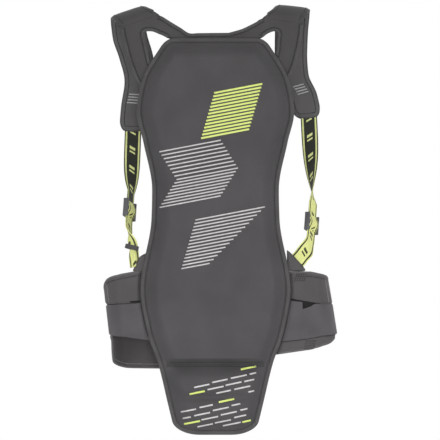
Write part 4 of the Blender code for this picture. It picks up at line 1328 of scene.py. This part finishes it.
def build_tacks(side, line, across, wide, thick, looks):
    """Close rows of satin stitch across the strap's wearer side, where its lining is sewn through."""
    x, z, lean = side["tack"]
    ahead = line[:, 1] > STRAP_FRONT_Y
    row = int(np.argmin(np.where(ahead, np.abs(line[:, 2] - z), 1e9)))
    way = unit(line[row - 1] - line[row + 1])
    face = unit(np.cross(across[row], way))
    face = face if face[1] < 0 else -face
    middle = (x - line[row, 0] * side["sign"]) / abs(across[row, 0])
    turn = math.radians(lean)
    steps = np.linspace(-0.5, 0.5, 9)
    rows = []
    for rank in TACK_RANKS:
        u = middle + steps * TACK_LONG * math.cos(turn) - rank * TACK_PITCH * math.sin(turn)
        v = steps * TACK_LONG * math.sin(turn) + rank * TACK_PITCH * math.cos(turn)
        core = line[row] + across[row] * u[:, None] + way * v[:, None]
        core = core + face * strap_rise(2 * u / wide[row], thick[row])[:, None]
        rows.append(rings_along(core, way, round_profile(*TACK_THREAD, count=8)))
    return bars(side["name"] + "_strap_tacks", rows, looks["thread_light"])


# Webbing, ladder-locks and tabs

def tape_across(along, sign, degrees):
    """Width directions of a tape after a twist about its own run."""
    flat = np.zeros_like(along)
    flat[:, 0] = sign
    flat = unit(flat - along * (flat * along).sum(axis=1)[:, None])
    turn = np.radians(degrees)[:, None] * sign
    return flat * np.cos(turn) + np.cross(along, flat) * np.sin(turn)


def webbing_run(side):
    """Places and twists of the webbing from inside the strap's end to its sewn end, and the bend's
    first row."""
    top, line_top, line_low, end = np.array(side["webbing"])
    drop = np.linalg.norm((line_top - top)[:3])
    share = np.linspace(-WEBBING_SEWN_IN / drop, 1.0, UPPER_ROWS)[:, None]
    upper = top + (line_top - top) * share
    upper[:, 3] = top[3] + (line_top[3] - top[3]) * np.maximum(share[:, 0], 0.0) ** side["twist_rate"]
    share = np.linspace(0.0, side["bend_from"], STRAIGHT_ROWS)[1:, None]
    straight = line_top + (line_low - line_top) * share
    line_low = straight[-1]
    reach = np.linalg.norm((end - line_low)[:3])
    leave = unit((line_low - line_top)[:3]) * reach * WEBBING_LEAVE
    arrive = unit(side["end_way"]) * reach
    t = np.linspace(0.0, 1.0, BEND_ROWS)[1:, None]
    turn = t * t * (3 - 2 * t)
    bend = line_low * (1 - turn) + end * turn
    bend[:, :3] += leave * t * (1 - t) ** 2
    bend[:, :3] -= arrive * t * t * (1 - t)
    bend[:, 3] = line_low[3] + (end[3] - line_low[3]) * ease(t[:, 0], TWIST_FROM, TWIST_SHARE)
    run = mirrored(side, np.vstack([upper, straight, bend]))
    return run[:, :3], run[:, 3], len(upper) + len(straight)


def build_webbing(looks):
    profile = round_profile(WEBBING_WIDE, WEBBING_THICK, WEBBING_SIDES, WEBBING_SQUARE)
    wide, off = profile.T
    behind = np.arange(WEBBING_SIDES) >= WEBBING_SIDES // 2
    for side in SIDES:
        name, sign = side["name"], side["sign"]
        line, twists, bend_start = webbing_run(side)
        across = tape_across(tangents(line), sign, twists)
        fold = np.radians(side["gather"]) * ease(np.arange(len(line)) - bend_start, *GATHER_ROWS)[:, None]
        lifted = off + np.abs(wide) * np.sin(fold) - WEBBING_WIDE / 4 * np.sin(fold)
        rings = rings_along(line, across, np.stack([wide * np.cos(fold), lifted], axis=2))
        lay = woven(wide, distance_run(line)[:, None])
        lime = np.tile(behind if sign < 0 else ~behind, (len(line) - 1, 1))
        lime[bend_start - LIME_ROWS_BEFORE_BEND:] = True
        finishes = (looks["webbing"], looks["webbing_lime"])
        made = bars(name + "_webbing", [rings], *finishes, lay=lay, marks=lime.ravel())
        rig.slot(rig.ride(made, "panel"), "webbing_face")
        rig.replaces(made, name + "_upper_webbing", name + "_lower_webbing")
        build_buckle(side, looks)
        build_tab(side, looks)
        if side["keeper"]:
            row = bend_start + KEEPER_ROW
            build_keeper(name, line[row], across[row], tangents(line)[row], looks)


def rounded_block(frame, spans, ends):
    """Rings of a block with rounded edges: spans across, along and off the face; ends is the axis of
    its run."""
    centre, axes = frame
    low, high = np.array(spans).T
    half = (high - low) / 2
    middle = (high + low) / 2
    others = [axis for axis in range(3) if axis != ends]
    section = round_profile(2.0, 2.0, count=20, square=BLOCK_SQUARE)
    slope = BLOCK_SOFT * 0.4
    rings = []
    for share, shrink in (
        (-1.0, BLOCK_SOFT), (-1.0, slope), (-0.98, 0.0), (0.98, 0.0), (1.0, slope), (1.0, BLOCK_SOFT),
    ):
        reach = share * half[ends] - (np.sign(share) * BLOCK_STEP if shrink < BLOCK_SOFT else 0.0)
        local = np.empty((len(section), 3))
        local[:, ends] = middle[ends] + reach
        local[:, others] = middle[others] + section * (half[others] - shrink)
        rings.append(centre + local @ axes)
    return np.array(rings)


def build_buckle(side, looks):
    """Ladder-lock: two rails, a bar over the webbing at each end, and one under its middle with the
    tape's turn on it."""
    stations = np.array(side["webbing"][1:3])
    top, low = mirrored(side, stations[:, :3])
    along = unit(top - low)
    across = tape_across(-along[None], side["sign"], stations[0, 3:])[0]
    centre = (top + low) / 2
    axes = np.array([across, along, unit(np.cross(across, along))])
    rail = ((-BUCKLE_END, BUCKLE_END), (-BUCKLE_DEEP, BUCKLE_DEEP))
    whole = (-BUCKLE_OUTER, BUCKLE_OUTER)
    over = (BUCKLE_RISE, BUCKLE_DEEP)
    bar_from = BUCKLE_END - BUCKLE_BAR
    blocks = [rounded_block((centre, axes), spans, ends) for spans, ends in (
        (((-BUCKLE_OUTER, -BUCKLE_INNER), *rail), 1),
        (((BUCKLE_INNER, BUCKLE_OUTER), *rail), 1),
        ((whole, (bar_from, BUCKLE_END), over), 0),
        ((whole, (-BUCKLE_END, -bar_from), over), 0),
        ((whole, (-BUCKLE_BAR / 2, BUCKLE_BAR / 2), (-BUCKLE_DEEP, -BUCKLE_RISE)), 0),
    )]
    name = side["name"] + "_buckle"
    made = bars(name + "_ladder", blocks, looks["acetal"])
    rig.replaces(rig.slot(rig.ride(made, name), "buckle"), name)
    v = np.linspace(-LOOP_REACH, LOOP_REACH, 25)[:, None]
    w = -(LOOP_LOW + LOOP_RISE * np.cos(math.pi / 2 * v / LOOP_REACH) ** 2)
    arch = centre + v * axes[1] + w * axes[2]
    profile = round_profile(WEBBING_WIDE, LOOP_THICK, WEBBING_SIDES, WEBBING_SQUARE)
    rings = rings_along(arch, across, profile)
    lay = woven(profile[:, 0], v + LOOP_LAY)
    made = bars(name + "_tape", [rings], looks["webbing_lime"], lay=lay)
    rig.slot(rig.ride(made, name), "webbing_lime")


def build_keeper(name, centre, across, way, looks):
    """A loop of tape round the webbing that holds its free length."""
    face = unit(np.cross(across, way))
    lean = math.radians(KEEPER_LEAN)
    leaning = across * math.cos(lean) + way * math.sin(lean)
    upright = way * math.cos(lean) - across * math.sin(lean)
    loop = round_profile(KEEPER_WIDE, KEEPER_DEEP, count=48, square=KEEPER_SQUARE)
    out = -leftward(loop, closed=True)
    section = round_profile(KEEPER_HIGH, KEEPER_THICK, count=12, square=KEEPER_TAPE_SQUARE)
    place = loop[:, None] + out[:, None] * section[:, 1:]
    rings = centre + leaning * place[..., :1] + face * place[..., 1:] + upright * section[:, :1]
    made = bars(name + "_keeper_loop", [rings], looks["tape"], closed=True)
    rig.replaces(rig.slot(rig.ride(made, "panel"), "trim"), name + "_keeper")


def build_tab(side, looks):
    """The tab on the panel's edge that takes the webbing's lower end."""

    def tab_shape(flat, from_edge):
        half = rolled(from_edge, TAB_ROLL)
        return TAB_Y - half, TAB_Y + half * TAB_BACK_SHARE

    outline = spline(mirrored(side, side["tab"]), step=3.0)
    made = soft_plate(side["name"] + "_tab", [outline], tab_shape, looks["wing"], step=3.0)
    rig.replaces(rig.slot(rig.ride(made, "panel"), "trim"), side["name"] + "_anchor_tab")


# Belt wings and elastic bands

def belt_place(side, turn, z, offset):
    """Places on the belt: turn -1 to 0 is its sewn root, 0 to 1 goes on behind, 1 to 2 round the side,
    2 to 3 in front."""
    turn, z, offset = np.broadcast_arrays(turn, z, offset)
    share = np.maximum(z - BAND_Z, 0.0) / BELT_HIGH
    reach = side["fold_low"] + (side["fold_top"] - side["fold_low"]) * share
    low, high = BAND_SPAN
    pulled = ease(z, low - BAND_PULL_RUN, low) * (1 - ease(z, high, high + BAND_PULL_RUN))
    reach = reach - side["lobe_in"] * ease(BAND_Z - z, *LOBE_RUN) - BAND_PULL * pulled
    front = WING_MID_Y + BELT_DEPTH + side["front_step"]
    start = reach - FOLD_REACH
    deep = (front - WING_MID_Y) / 2
    hinge = side["hinge_x"] + HINGE_CLEAR
    sewn = edge_half(z) - ROOT_INSIDE
    angle = math.pi * (np.clip(turn, 1, 2) - 1.5)
    root_x = sewn + (hinge - sewn) * (np.clip(turn, -1, 0) + 1)
    back_x = root_x + (start - hinge) * np.clip(turn, 0, 1)
    round_x = start + (FOLD_REACH + offset) * np.cos(angle)
    front_x = start + (side["flap_end"] - start) * (turn - 2)
    round_y = WING_MID_Y + deep + (deep + offset) * np.sin(angle)
    x = np.where(turn <= 1, back_x, np.where(turn <= 2, round_x, front_x))
    y = np.where(turn <= 1, WING_MID_Y - offset, np.where(turn <= 2, round_y, front + offset))
    return np.stack([side["sign"] * x, y, z], axis=-1)


def flap_turn(side, x):
    """The turn at which the front stretch reaches x, counted outwards from the centre."""
    start = (side["fold_top"] + side["fold_low"]) / 2 - FOLD_REACH
    return 2 + (start - x) / (start - side["flap_end"])


def belt_rows(side, top, low, first, end_x):
    """Turns along a belt piece, and the heights of its edges, with round corners at its free end."""
    last = flap_turn(side, end_x)
    straight = flap_turn(side, end_x + FLAP_ROUND)
    turns = np.concatenate([
        np.linspace(first, 0.0, 16)[:-1] if first < 0 else [],
        np.linspace(0.0, 1.0, 12)[:-1], np.linspace(1.0, 2.0, 56)[:-1], np.linspace(2.0, straight, 36),
    ])
    angle = np.linspace(0.0, math.pi / 2, 10)[1:]
    drop = np.concatenate([np.zeros(len(turns)), FLAP_ROUND * (1 - np.cos(angle))])
    turns = np.concatenate([turns, straight + (last - straight) * np.sin(angle)])
    return turns, smooth(top, turns) - drop, smooth(low, turns) + drop


def belt_pad(name, side, rows, offset, thick, finish, slack):
    """A thin closed pad along the belt; slack gives how far its cloth stands off its line."""
    turns, tops, lows = (row[:, None] for row in rows)
    even_share = np.linspace(0.0, 1.0, BELT_COLUMNS)
    # Half even and half cosine spacing, so that columns are closer together near the edges
    share = 0.5 * even_share + 0.25 - 0.25 * np.cos(math.pi * even_share)
    z = lows + (tops - lows) * share
    turn = np.broadcast_to(turns, z.shape)
    middle = belt_place(side, turn, z, offset)
    from_edge = np.minimum(z - lows, tops - z)
    from_end = np.linalg.norm(middle - middle[-1:], axis=2)
    from_edge = np.minimum(from_edge, np.where(turn > 2, from_end, 1e3))
    half = thick / 2 * rolled(from_edge, EDGE_ROLL, least=EDGE_LEAST)
    stand = offset + slack(middle, turn)
    outer, inner = (belt_place(side, turn, z, stand + over) for over in (half, -half))
    step = np.linalg.norm(np.diff(middle, axis=0), axis=2).mean(axis=1)
    along = np.concatenate([[0.0], np.cumsum(step)])
    return closed_grid(name, outer, inner, finish, np.tile(woven(along[:, None], z), (2, 1)))


def rim_dip(middle):
    """How far the belt's back stretch dips where it goes in under the panel's rim."""
    from_rim = np.abs(middle[..., 0]) - edge_half(middle[..., 2])
    behind = middle[..., 1] < BELT_DEPTH / 2
    return RIM_DIP * (1 - ease(from_rim, *RIM_DIP_RUN)) * behind


def wing_slack(middle, turn):
    """Soft folds of the wing, flat where it is sewn in and along its band's upper edge, and flatter
    where the flaps lie on each other."""
    z = middle[..., 2]
    loose = ease(turn, *WING_LOOSE_TURNS) * (1 - FLAP_STIFF * ease(turn, *FLAP_STIFF_TURNS))
    held = ease(z, *HELD_FROM_Z) * (1 - ease(z, *HELD_TO_Z)) * (1 - ease(turn, *HELD_TURNS))
    return WING_WAVE * ripple(middle, scale=62.0, seed=21) * loose * (1 - held) - rim_dip(middle)


def band_slack(middle, turn):
    return -rim_dip(middle)


def back_turn(side, x, z):
    """The turn of places on the belt's back stretch."""
    x = np.abs(x)
    hinge = side["hinge_x"] + HINGE_CLEAR
    sewn = edge_half(z) - ROOT_INSIDE
    start = belt_place(side, 1.0, z, 0.0)[:, 0] * side["sign"]
    return np.where(x < hinge, (x - hinge) / (hinge - sewn), (x - hinge) / (start - hinge))


def belt_line(side, turns, heights, stand):
    """A line laid on the wing, standing off the middle of its cloth."""
    middle = belt_place(side, turns, heights, 0.0)
    return belt_place(side, turns, heights, stand + wing_slack(middle, turns))


def at_hinge(side, made):
    """The piece bends at the fold line from the panel to the wing; the slanting run keeps the front
    flap with the wing."""
    turn = math.radians(HINGE_SLANT)
    way = np.array((side["sign"] * math.cos(turn), math.sin(turn), 0.0))
    start = np.array((side["sign"] * (side["hinge_x"] - HINGE_BEFORE), WING_MID_Y, BAND_Z))
    ends = [tuple(metres(start + way * reach)[0]) for reach in (0.0, HINGE_RUN)]
    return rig.blend(made, "panel", side["name"] + "_wing", start=ends[0], end=ends[1])


def build_gape(side, looks):
    """A dark sheet where the band gapes off the wing above its sewn root: painted shadow for the shade down in the
    gap.
    """

    def shadow_sheet_shape(flat, from_edge):
        face = WING_MID_Y - WING_THICK / 2 + rim_dip(raised(flat, 0.0))
        half = GAPE_HALF * np.clip(from_edge / GAPE_ROLL, 0.0, 1.0)
        return face - GAPE_FRONT - half, face + GAPE_BACK - half

    name = side["name"] + "_band_gape"
    outline = mirrored(side, side["gape"])
    made = soft_plate(name, [outline], shadow_sheet_shape, looks["lining"], step=2.0, edge_step=1.5)
    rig.slot(at_hinge(side, made), "trim")


def sew_belt(side, rows, sewing, sewing_light):
    """Seam under the panel's rim, a dark stitch line just off the band's edge that paints the shadow there, stitches
    inside the wing's edges and the sewn boxes.
    """

    def between(span):
        return (turns > span[0]) & (turns < span[1])

    name = side["name"]
    turns, tops, lows = rows
    stand = WING_THICK / 2 + BELT_SEAM_LIFT
    root_high, root_low = side["root"]
    heights = np.linspace(root_low + RIM_SEAM_CLEAR[0], root_high - RIM_SEAM_CLEAR[1], 40)
    seam = np.stack([edge_half(heights) + RIM_SEAM_OUT, heights], axis=1)
    lines = [raised(mirrored(side, seam), WING_MID_Y - BAND_OFFSET)]
    # a line of dark thread just off the band's top or lower edge: painted shadow along that edge
    root_edge, free_edge, off = side["band_seam"]
    along = turns[between(BAND_SHADOW_LINE_TURNS)]
    on_root = np.interp(along, *zip(*side[root_edge]))
    heights = np.where(along < 0, on_root, smooth(side[free_edge], along))
    lines.append(belt_line(side, along, heights + off, stand))
    near = between(TOP_SEAM_TURNS)
    lines.append(belt_line(side, turns[near], tops[near] - TOP_SEAM_IN, stand))
    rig.slot(at_hinge(side, stitched(name + "_wing_seams", lines, sewing, CLOSE_STITCH)), "trim")
    boxes = []
    for x_near, z_low, x_far, z_high in side["boxes"]:
        for share in np.linspace(0.0, 1.0, BOX_ROWS):
            x = x_near + (x_far - x_near) * share
            row_x, row_z = even(mirrored(side, ((x, z_low), (x + BOX_LEAN, z_high))), step=1.5).T
            boxes.append(belt_line(side, back_turn(side, row_x, row_z), row_z, stand))
    if boxes:
        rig.slot(at_hinge(side, stitched(name + "_wing_tacks", boxes, sewing, CLOSE_STITCH)), "trim")
    top = smooth(side["wing_top"], SIDE_SEAM_TURN) - SIDE_SEAM_CLEAR
    heights = np.linspace(BAND_SPAN[1] + SIDE_SEAM_CLEAR, top, 24)
    lines = [belt_line(side, np.full(24, SIDE_SEAM_TURN), heights, stand)]
    near = between(LOW_SEAM_TURNS)
    lines.append(belt_line(side, turns[near], lows[near] + LOW_SEAM_IN, -stand))
    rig.slot(at_hinge(side, stitched(name + "_wing_edge_seams", lines, sewing_light)), "trim")


def build_belt(looks, sewing, sewing_light):
    for side in SIDES:
        name = side["name"]
        top = ((-1.0, side["root"][0]), *side["wing_top"])
        low = ((-1.0, side["root"][1]), *side["wing_low"])
        rows = belt_rows(side, top, low, -1.0, side["flap_end"])
        made = belt_pad(name + "_wing_pad", side, rows, 0.0, WING_THICK, looks["wing"], wing_slack)
        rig.padded(at_hinge(side, made), fill=0.5)
        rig.replaces(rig.slot(made, "cover"), name + "_wing_root", name + "_wing")
        turns, tops, lows = rows
        upper, lower = (belt_line(side, turns, heights, 0.0) for heights in (tops, lows))
        run = even(np.vstack([upper, lower[::-1]]), step=3.5)
        # the wing's piping takes the lighter tape, a painted highlight along its roll
        made = piping(name + "_wing_piping", run, WING_PIPING, looks["wing_tape"])
        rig.replaces(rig.slot(at_hinge(side, made), "trim"), name + "_wing_binding")
        build_band(side, looks)
        build_gape(side, looks)
        sew_belt(side, rows, sewing, sewing_light)
    build_closure(looks)


def build_band(side, looks):
    """The elastic over the wing: its root is sewn to the panel and its free length peels off the wing."""
    name = side["name"]
    top, low = side["band_top"], side["band_low"]
    corners = [turn for turn, height in side["root_top"][:-1]]
    turns = np.unique(np.concatenate([np.linspace(-1.0, -0.002, 18), corners]))
    rows = (turns, *(np.interp(turns, *zip(*side[edge])) for edge in ("root_top", "root_low")))
    made = belt_pad(name + "_band_sewn", side, rows, BAND_OFFSET, BAND_THICK, looks["elastic"], band_slack)
    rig.replaces(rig.slot(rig.ride(made, "panel"), "elastic"), name + "_band_root")
    rows = belt_rows(side, top, low, 0.0, side["band_end"])
    made = belt_pad(name + "_band_free", side, rows, BAND_OFFSET, BAND_THICK, looks["elastic"], band_slack)
    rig.replaces(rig.slot(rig.ride(made, name + "_band"), "elastic"), name + "_band")
    heights = (top[-1][1] - PATCH_EDGE, low[-1][1] + PATCH_EDGE)
    near = side["band_end"] + PATCH_EDGE
    offset = BAND_OFFSET - BAND_THICK / 2 - PATCH_THICK / 2
    made = touch_patch(name + "_band_hooks", side, (near, near + PATCH_LONG), heights, offset, looks["hook"])
    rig.replaces(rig.slot(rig.ride(made, name + "_band"), "trim"), name + "_band_hook")


def touch_patch(name, side, ends, heights, offset, finish):
    """A hook or loop patch sewn on the belt's front stretch."""
    near, far = sorted(ends)
    high, low = heights
    near, low = near + PATCH_CORNER, low + PATCH_CORNER
    far, high = far - PATCH_CORNER, high - PATCH_CORNER
    corners = []
    for quarter, (x, z) in enumerate(((far, high), (near, high), (near, low), (far, low))):
        angle = np.linspace(0.0, math.pi / 2, 5) + quarter * math.pi / 2
        corners.append(np.stack([x + PATCH_CORNER * np.cos(angle), z + PATCH_CORNER * np.sin(angle)], axis=1))
    outline = mirrored(side, np.vstack(corners))
    middle = WING_MID_Y + BELT_DEPTH + side["front_step"] + offset

    def patch_shape(flat, from_edge):
        half = PATCH_THICK / 2 * rolled(from_edge, PATCH_ROLL)
        return middle - half, middle + half

    return soft_plate(name, [outline], patch_shape, finish, step=4.0)


def build_closure(looks):
    """Hooks inside the left flap's end, and the loop field on the right flap that they close on."""
    heights = (LEFT["band_top"][-1][1], LEFT["band_low"][-1][1])
    ends = (LEFT["flap_end"] + PATCH_EDGE, LEFT["flap_end"] + PATCH_EDGE + PATCH_LONG)
    inside_face = WING_THICK / 2 + PATCH_THICK / 2
    made = touch_patch("left_flap_hooks", LEFT, ends, heights, -inside_face, looks["hook"])
    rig.replaces(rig.slot(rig.ride(made, "left_wing"), "trim"), "left_closure_hook")
    ends = (-ends[0], -ends[1])
    made = touch_patch("right_flap_loops", RIGHT, ends, heights, inside_face, looks["loop"])
    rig.replaces(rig.slot(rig.ride(made, "right_wing"), "trim"), "right_closure_loop")


# Studio

def area_light(name, place, aim, size, spread, watts):
    lamp = bpy.data.lights.new(name, "AREA")
    lamp.shape = "DISK"
    lamp.size = size
    lamp.spread = math.radians(spread)
    lamp.energy = watts
    made = add_object(name, lamp)
    made.location = place
    made.rotation_euler = (Vector(aim) - Vector(place)).to_track_quat("-Z", "Y").to_euler()


def white_world(ambient):
    """White to the camera and in reflections, and a soft even grey light on everything."""
    world = bpy.data.worlds.new("studio")
    world.use_nodes = True
    tree = world.node_tree
    ray = node(tree, "ShaderNodeLightPath").outputs
    seen = ray["Is Camera Ray"]
    for other in ("Is Glossy Ray", "Is Transmission Ray"):
        seen = node(tree, "ShaderNodeMath", {0: seen, 1: ray[other]}, operation="MAXIMUM")
    level = node(tree, "ShaderNodeMapRange", {"Value": seen, "To Min": ambient, "To Max": 1.0})
    feed(tree, tree.nodes["Background"], {"Color": (1.0, 1.0, 1.0, 1.0), "Strength": level})
    bpy.context.scene.world = world


def studio_floor(height):
    """A pale floor below the view that keeps the object's shadow."""
    mesh = bpy.data.meshes.new("floor")
    corners = [(x * FLOOR_REACH, y * FLOOR_REACH, height) for x, y in ((-1, -1), (1, -1), (1, 1), (-1, 1))]
    mesh.from_pydata(corners, [], [(0, 1, 2, 3)])
    tree, place, finish = start_material("floor_paint", 0.9)
    mesh.materials.append(finish(mottled(tree, place, "#F1F1F1", "#F4F4F4", size_mm=400.0)))
    floor = add_object("floor", mesh)
    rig.stage(floor)


def photo_camera():
    """A long lens square on to the outer face, framed as wide as a 440-pixel picture at 1.5 mm to the pixel."""
    lens = bpy.data.cameras.new("camera")
    lens.sensor_width = SENSOR_WIDE
    lens.lens = SENSOR_WIDE * CAMERA_AWAY / FRAME_WIDE
    camera = add_object("camera", lens)
    camera.location = (FRAME_X * MM, -CAMERA_AWAY * MM, (FRAME_Z - BACK_Z) * MM)
    camera.rotation_euler = (math.pi / 2, 0.0, 0.0)
    bpy.context.scene.camera = camera


def main():
    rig.load()
    cad_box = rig.bounds()
    bpy.context.scene.view_settings.view_transform = "Standard"
    looks = {
        "cover": jersey_neoprene("jersey_neoprene", "#525052", "#585658"),
        "yoke": jersey_neoprene("yoke_jersey", "#504E4F", "#575556"),
        # a lighter copy of the yoke's jersey for the straps' wearer side: painted light against their shade
        "strap": jersey_neoprene("strap_jersey", "#666465", "#6D6B6C"),
        "wing": jersey_neoprene("wing_jersey", "#595657", "#5F5C5D"),
        "tape": binding_tape("binding_tape", "#525051", "#5A5859"),
        # lighter than the panel's tape: painted highlight where the wings' piping rolls over the edge
        "wing_tape": binding_tape("wing_piping", "#646263", "#6E6C6D"),
        "liner": spacer_mesh("spacer_mesh", "#55555A", "#26262A"),
        "elastic": ribbed_elastic("ribbed_elastic", "#585558", "#605D60"),
        "webbing": polyester_webbing("webbing_dark", "#363831", "#F9FFAC"),
        "webbing_lime": polyester_webbing("webbing_lime", "#FAFFA6", "#4A4C38"),
        "acetal": moulded_acetal("moulded_acetal", "#5A5A5C"),
        "hook": touch_tape("hook_tape", "#2A2A2B", "#4A4A4C", 1.1),
        # the gape sheet is a near-black copy of the jersey: painted shadow in the gap between band and wing
        "lining": jersey_neoprene("gape_lining", "#222122", "#2A292A"),
        "loop": touch_tape("loop_tape", "#39393B", "#575759", 0.7),
        "print_lime": transfer_print("print_lime", "#EAFB82", "#F2FF96"),
        "print_grey": transfer_print("print_grey", "#D0CDCE", "#E2DFE0"),
        "thread": sewing_thread("dark_thread", "#201F20"),
        "thread_light": sewing_thread("light_thread", "#C4C3C4"),
    }
    sewing = running_stitch(looks["thread"])
    build_panel(looks, sewing)
    build_prints(looks)
    build_yoke(looks, sewing)
    build_straps(looks, sewing)
    build_webbing(looks)
    build_belt(looks, sewing, running_stitch(looks["thread_light"]))
    white_world(AMBIENT)
    studio_floor(FLOOR_Z)
    for lamp in LAMPS:
        area_light(*lamp)
    photo_camera()
    sizes = {"cad": [list(corner) for corner in cad_box], "visual": [list(corner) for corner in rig.bounds()]}
    with open("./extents.json", "w") as out:
        json.dump(sizes, out)


main()
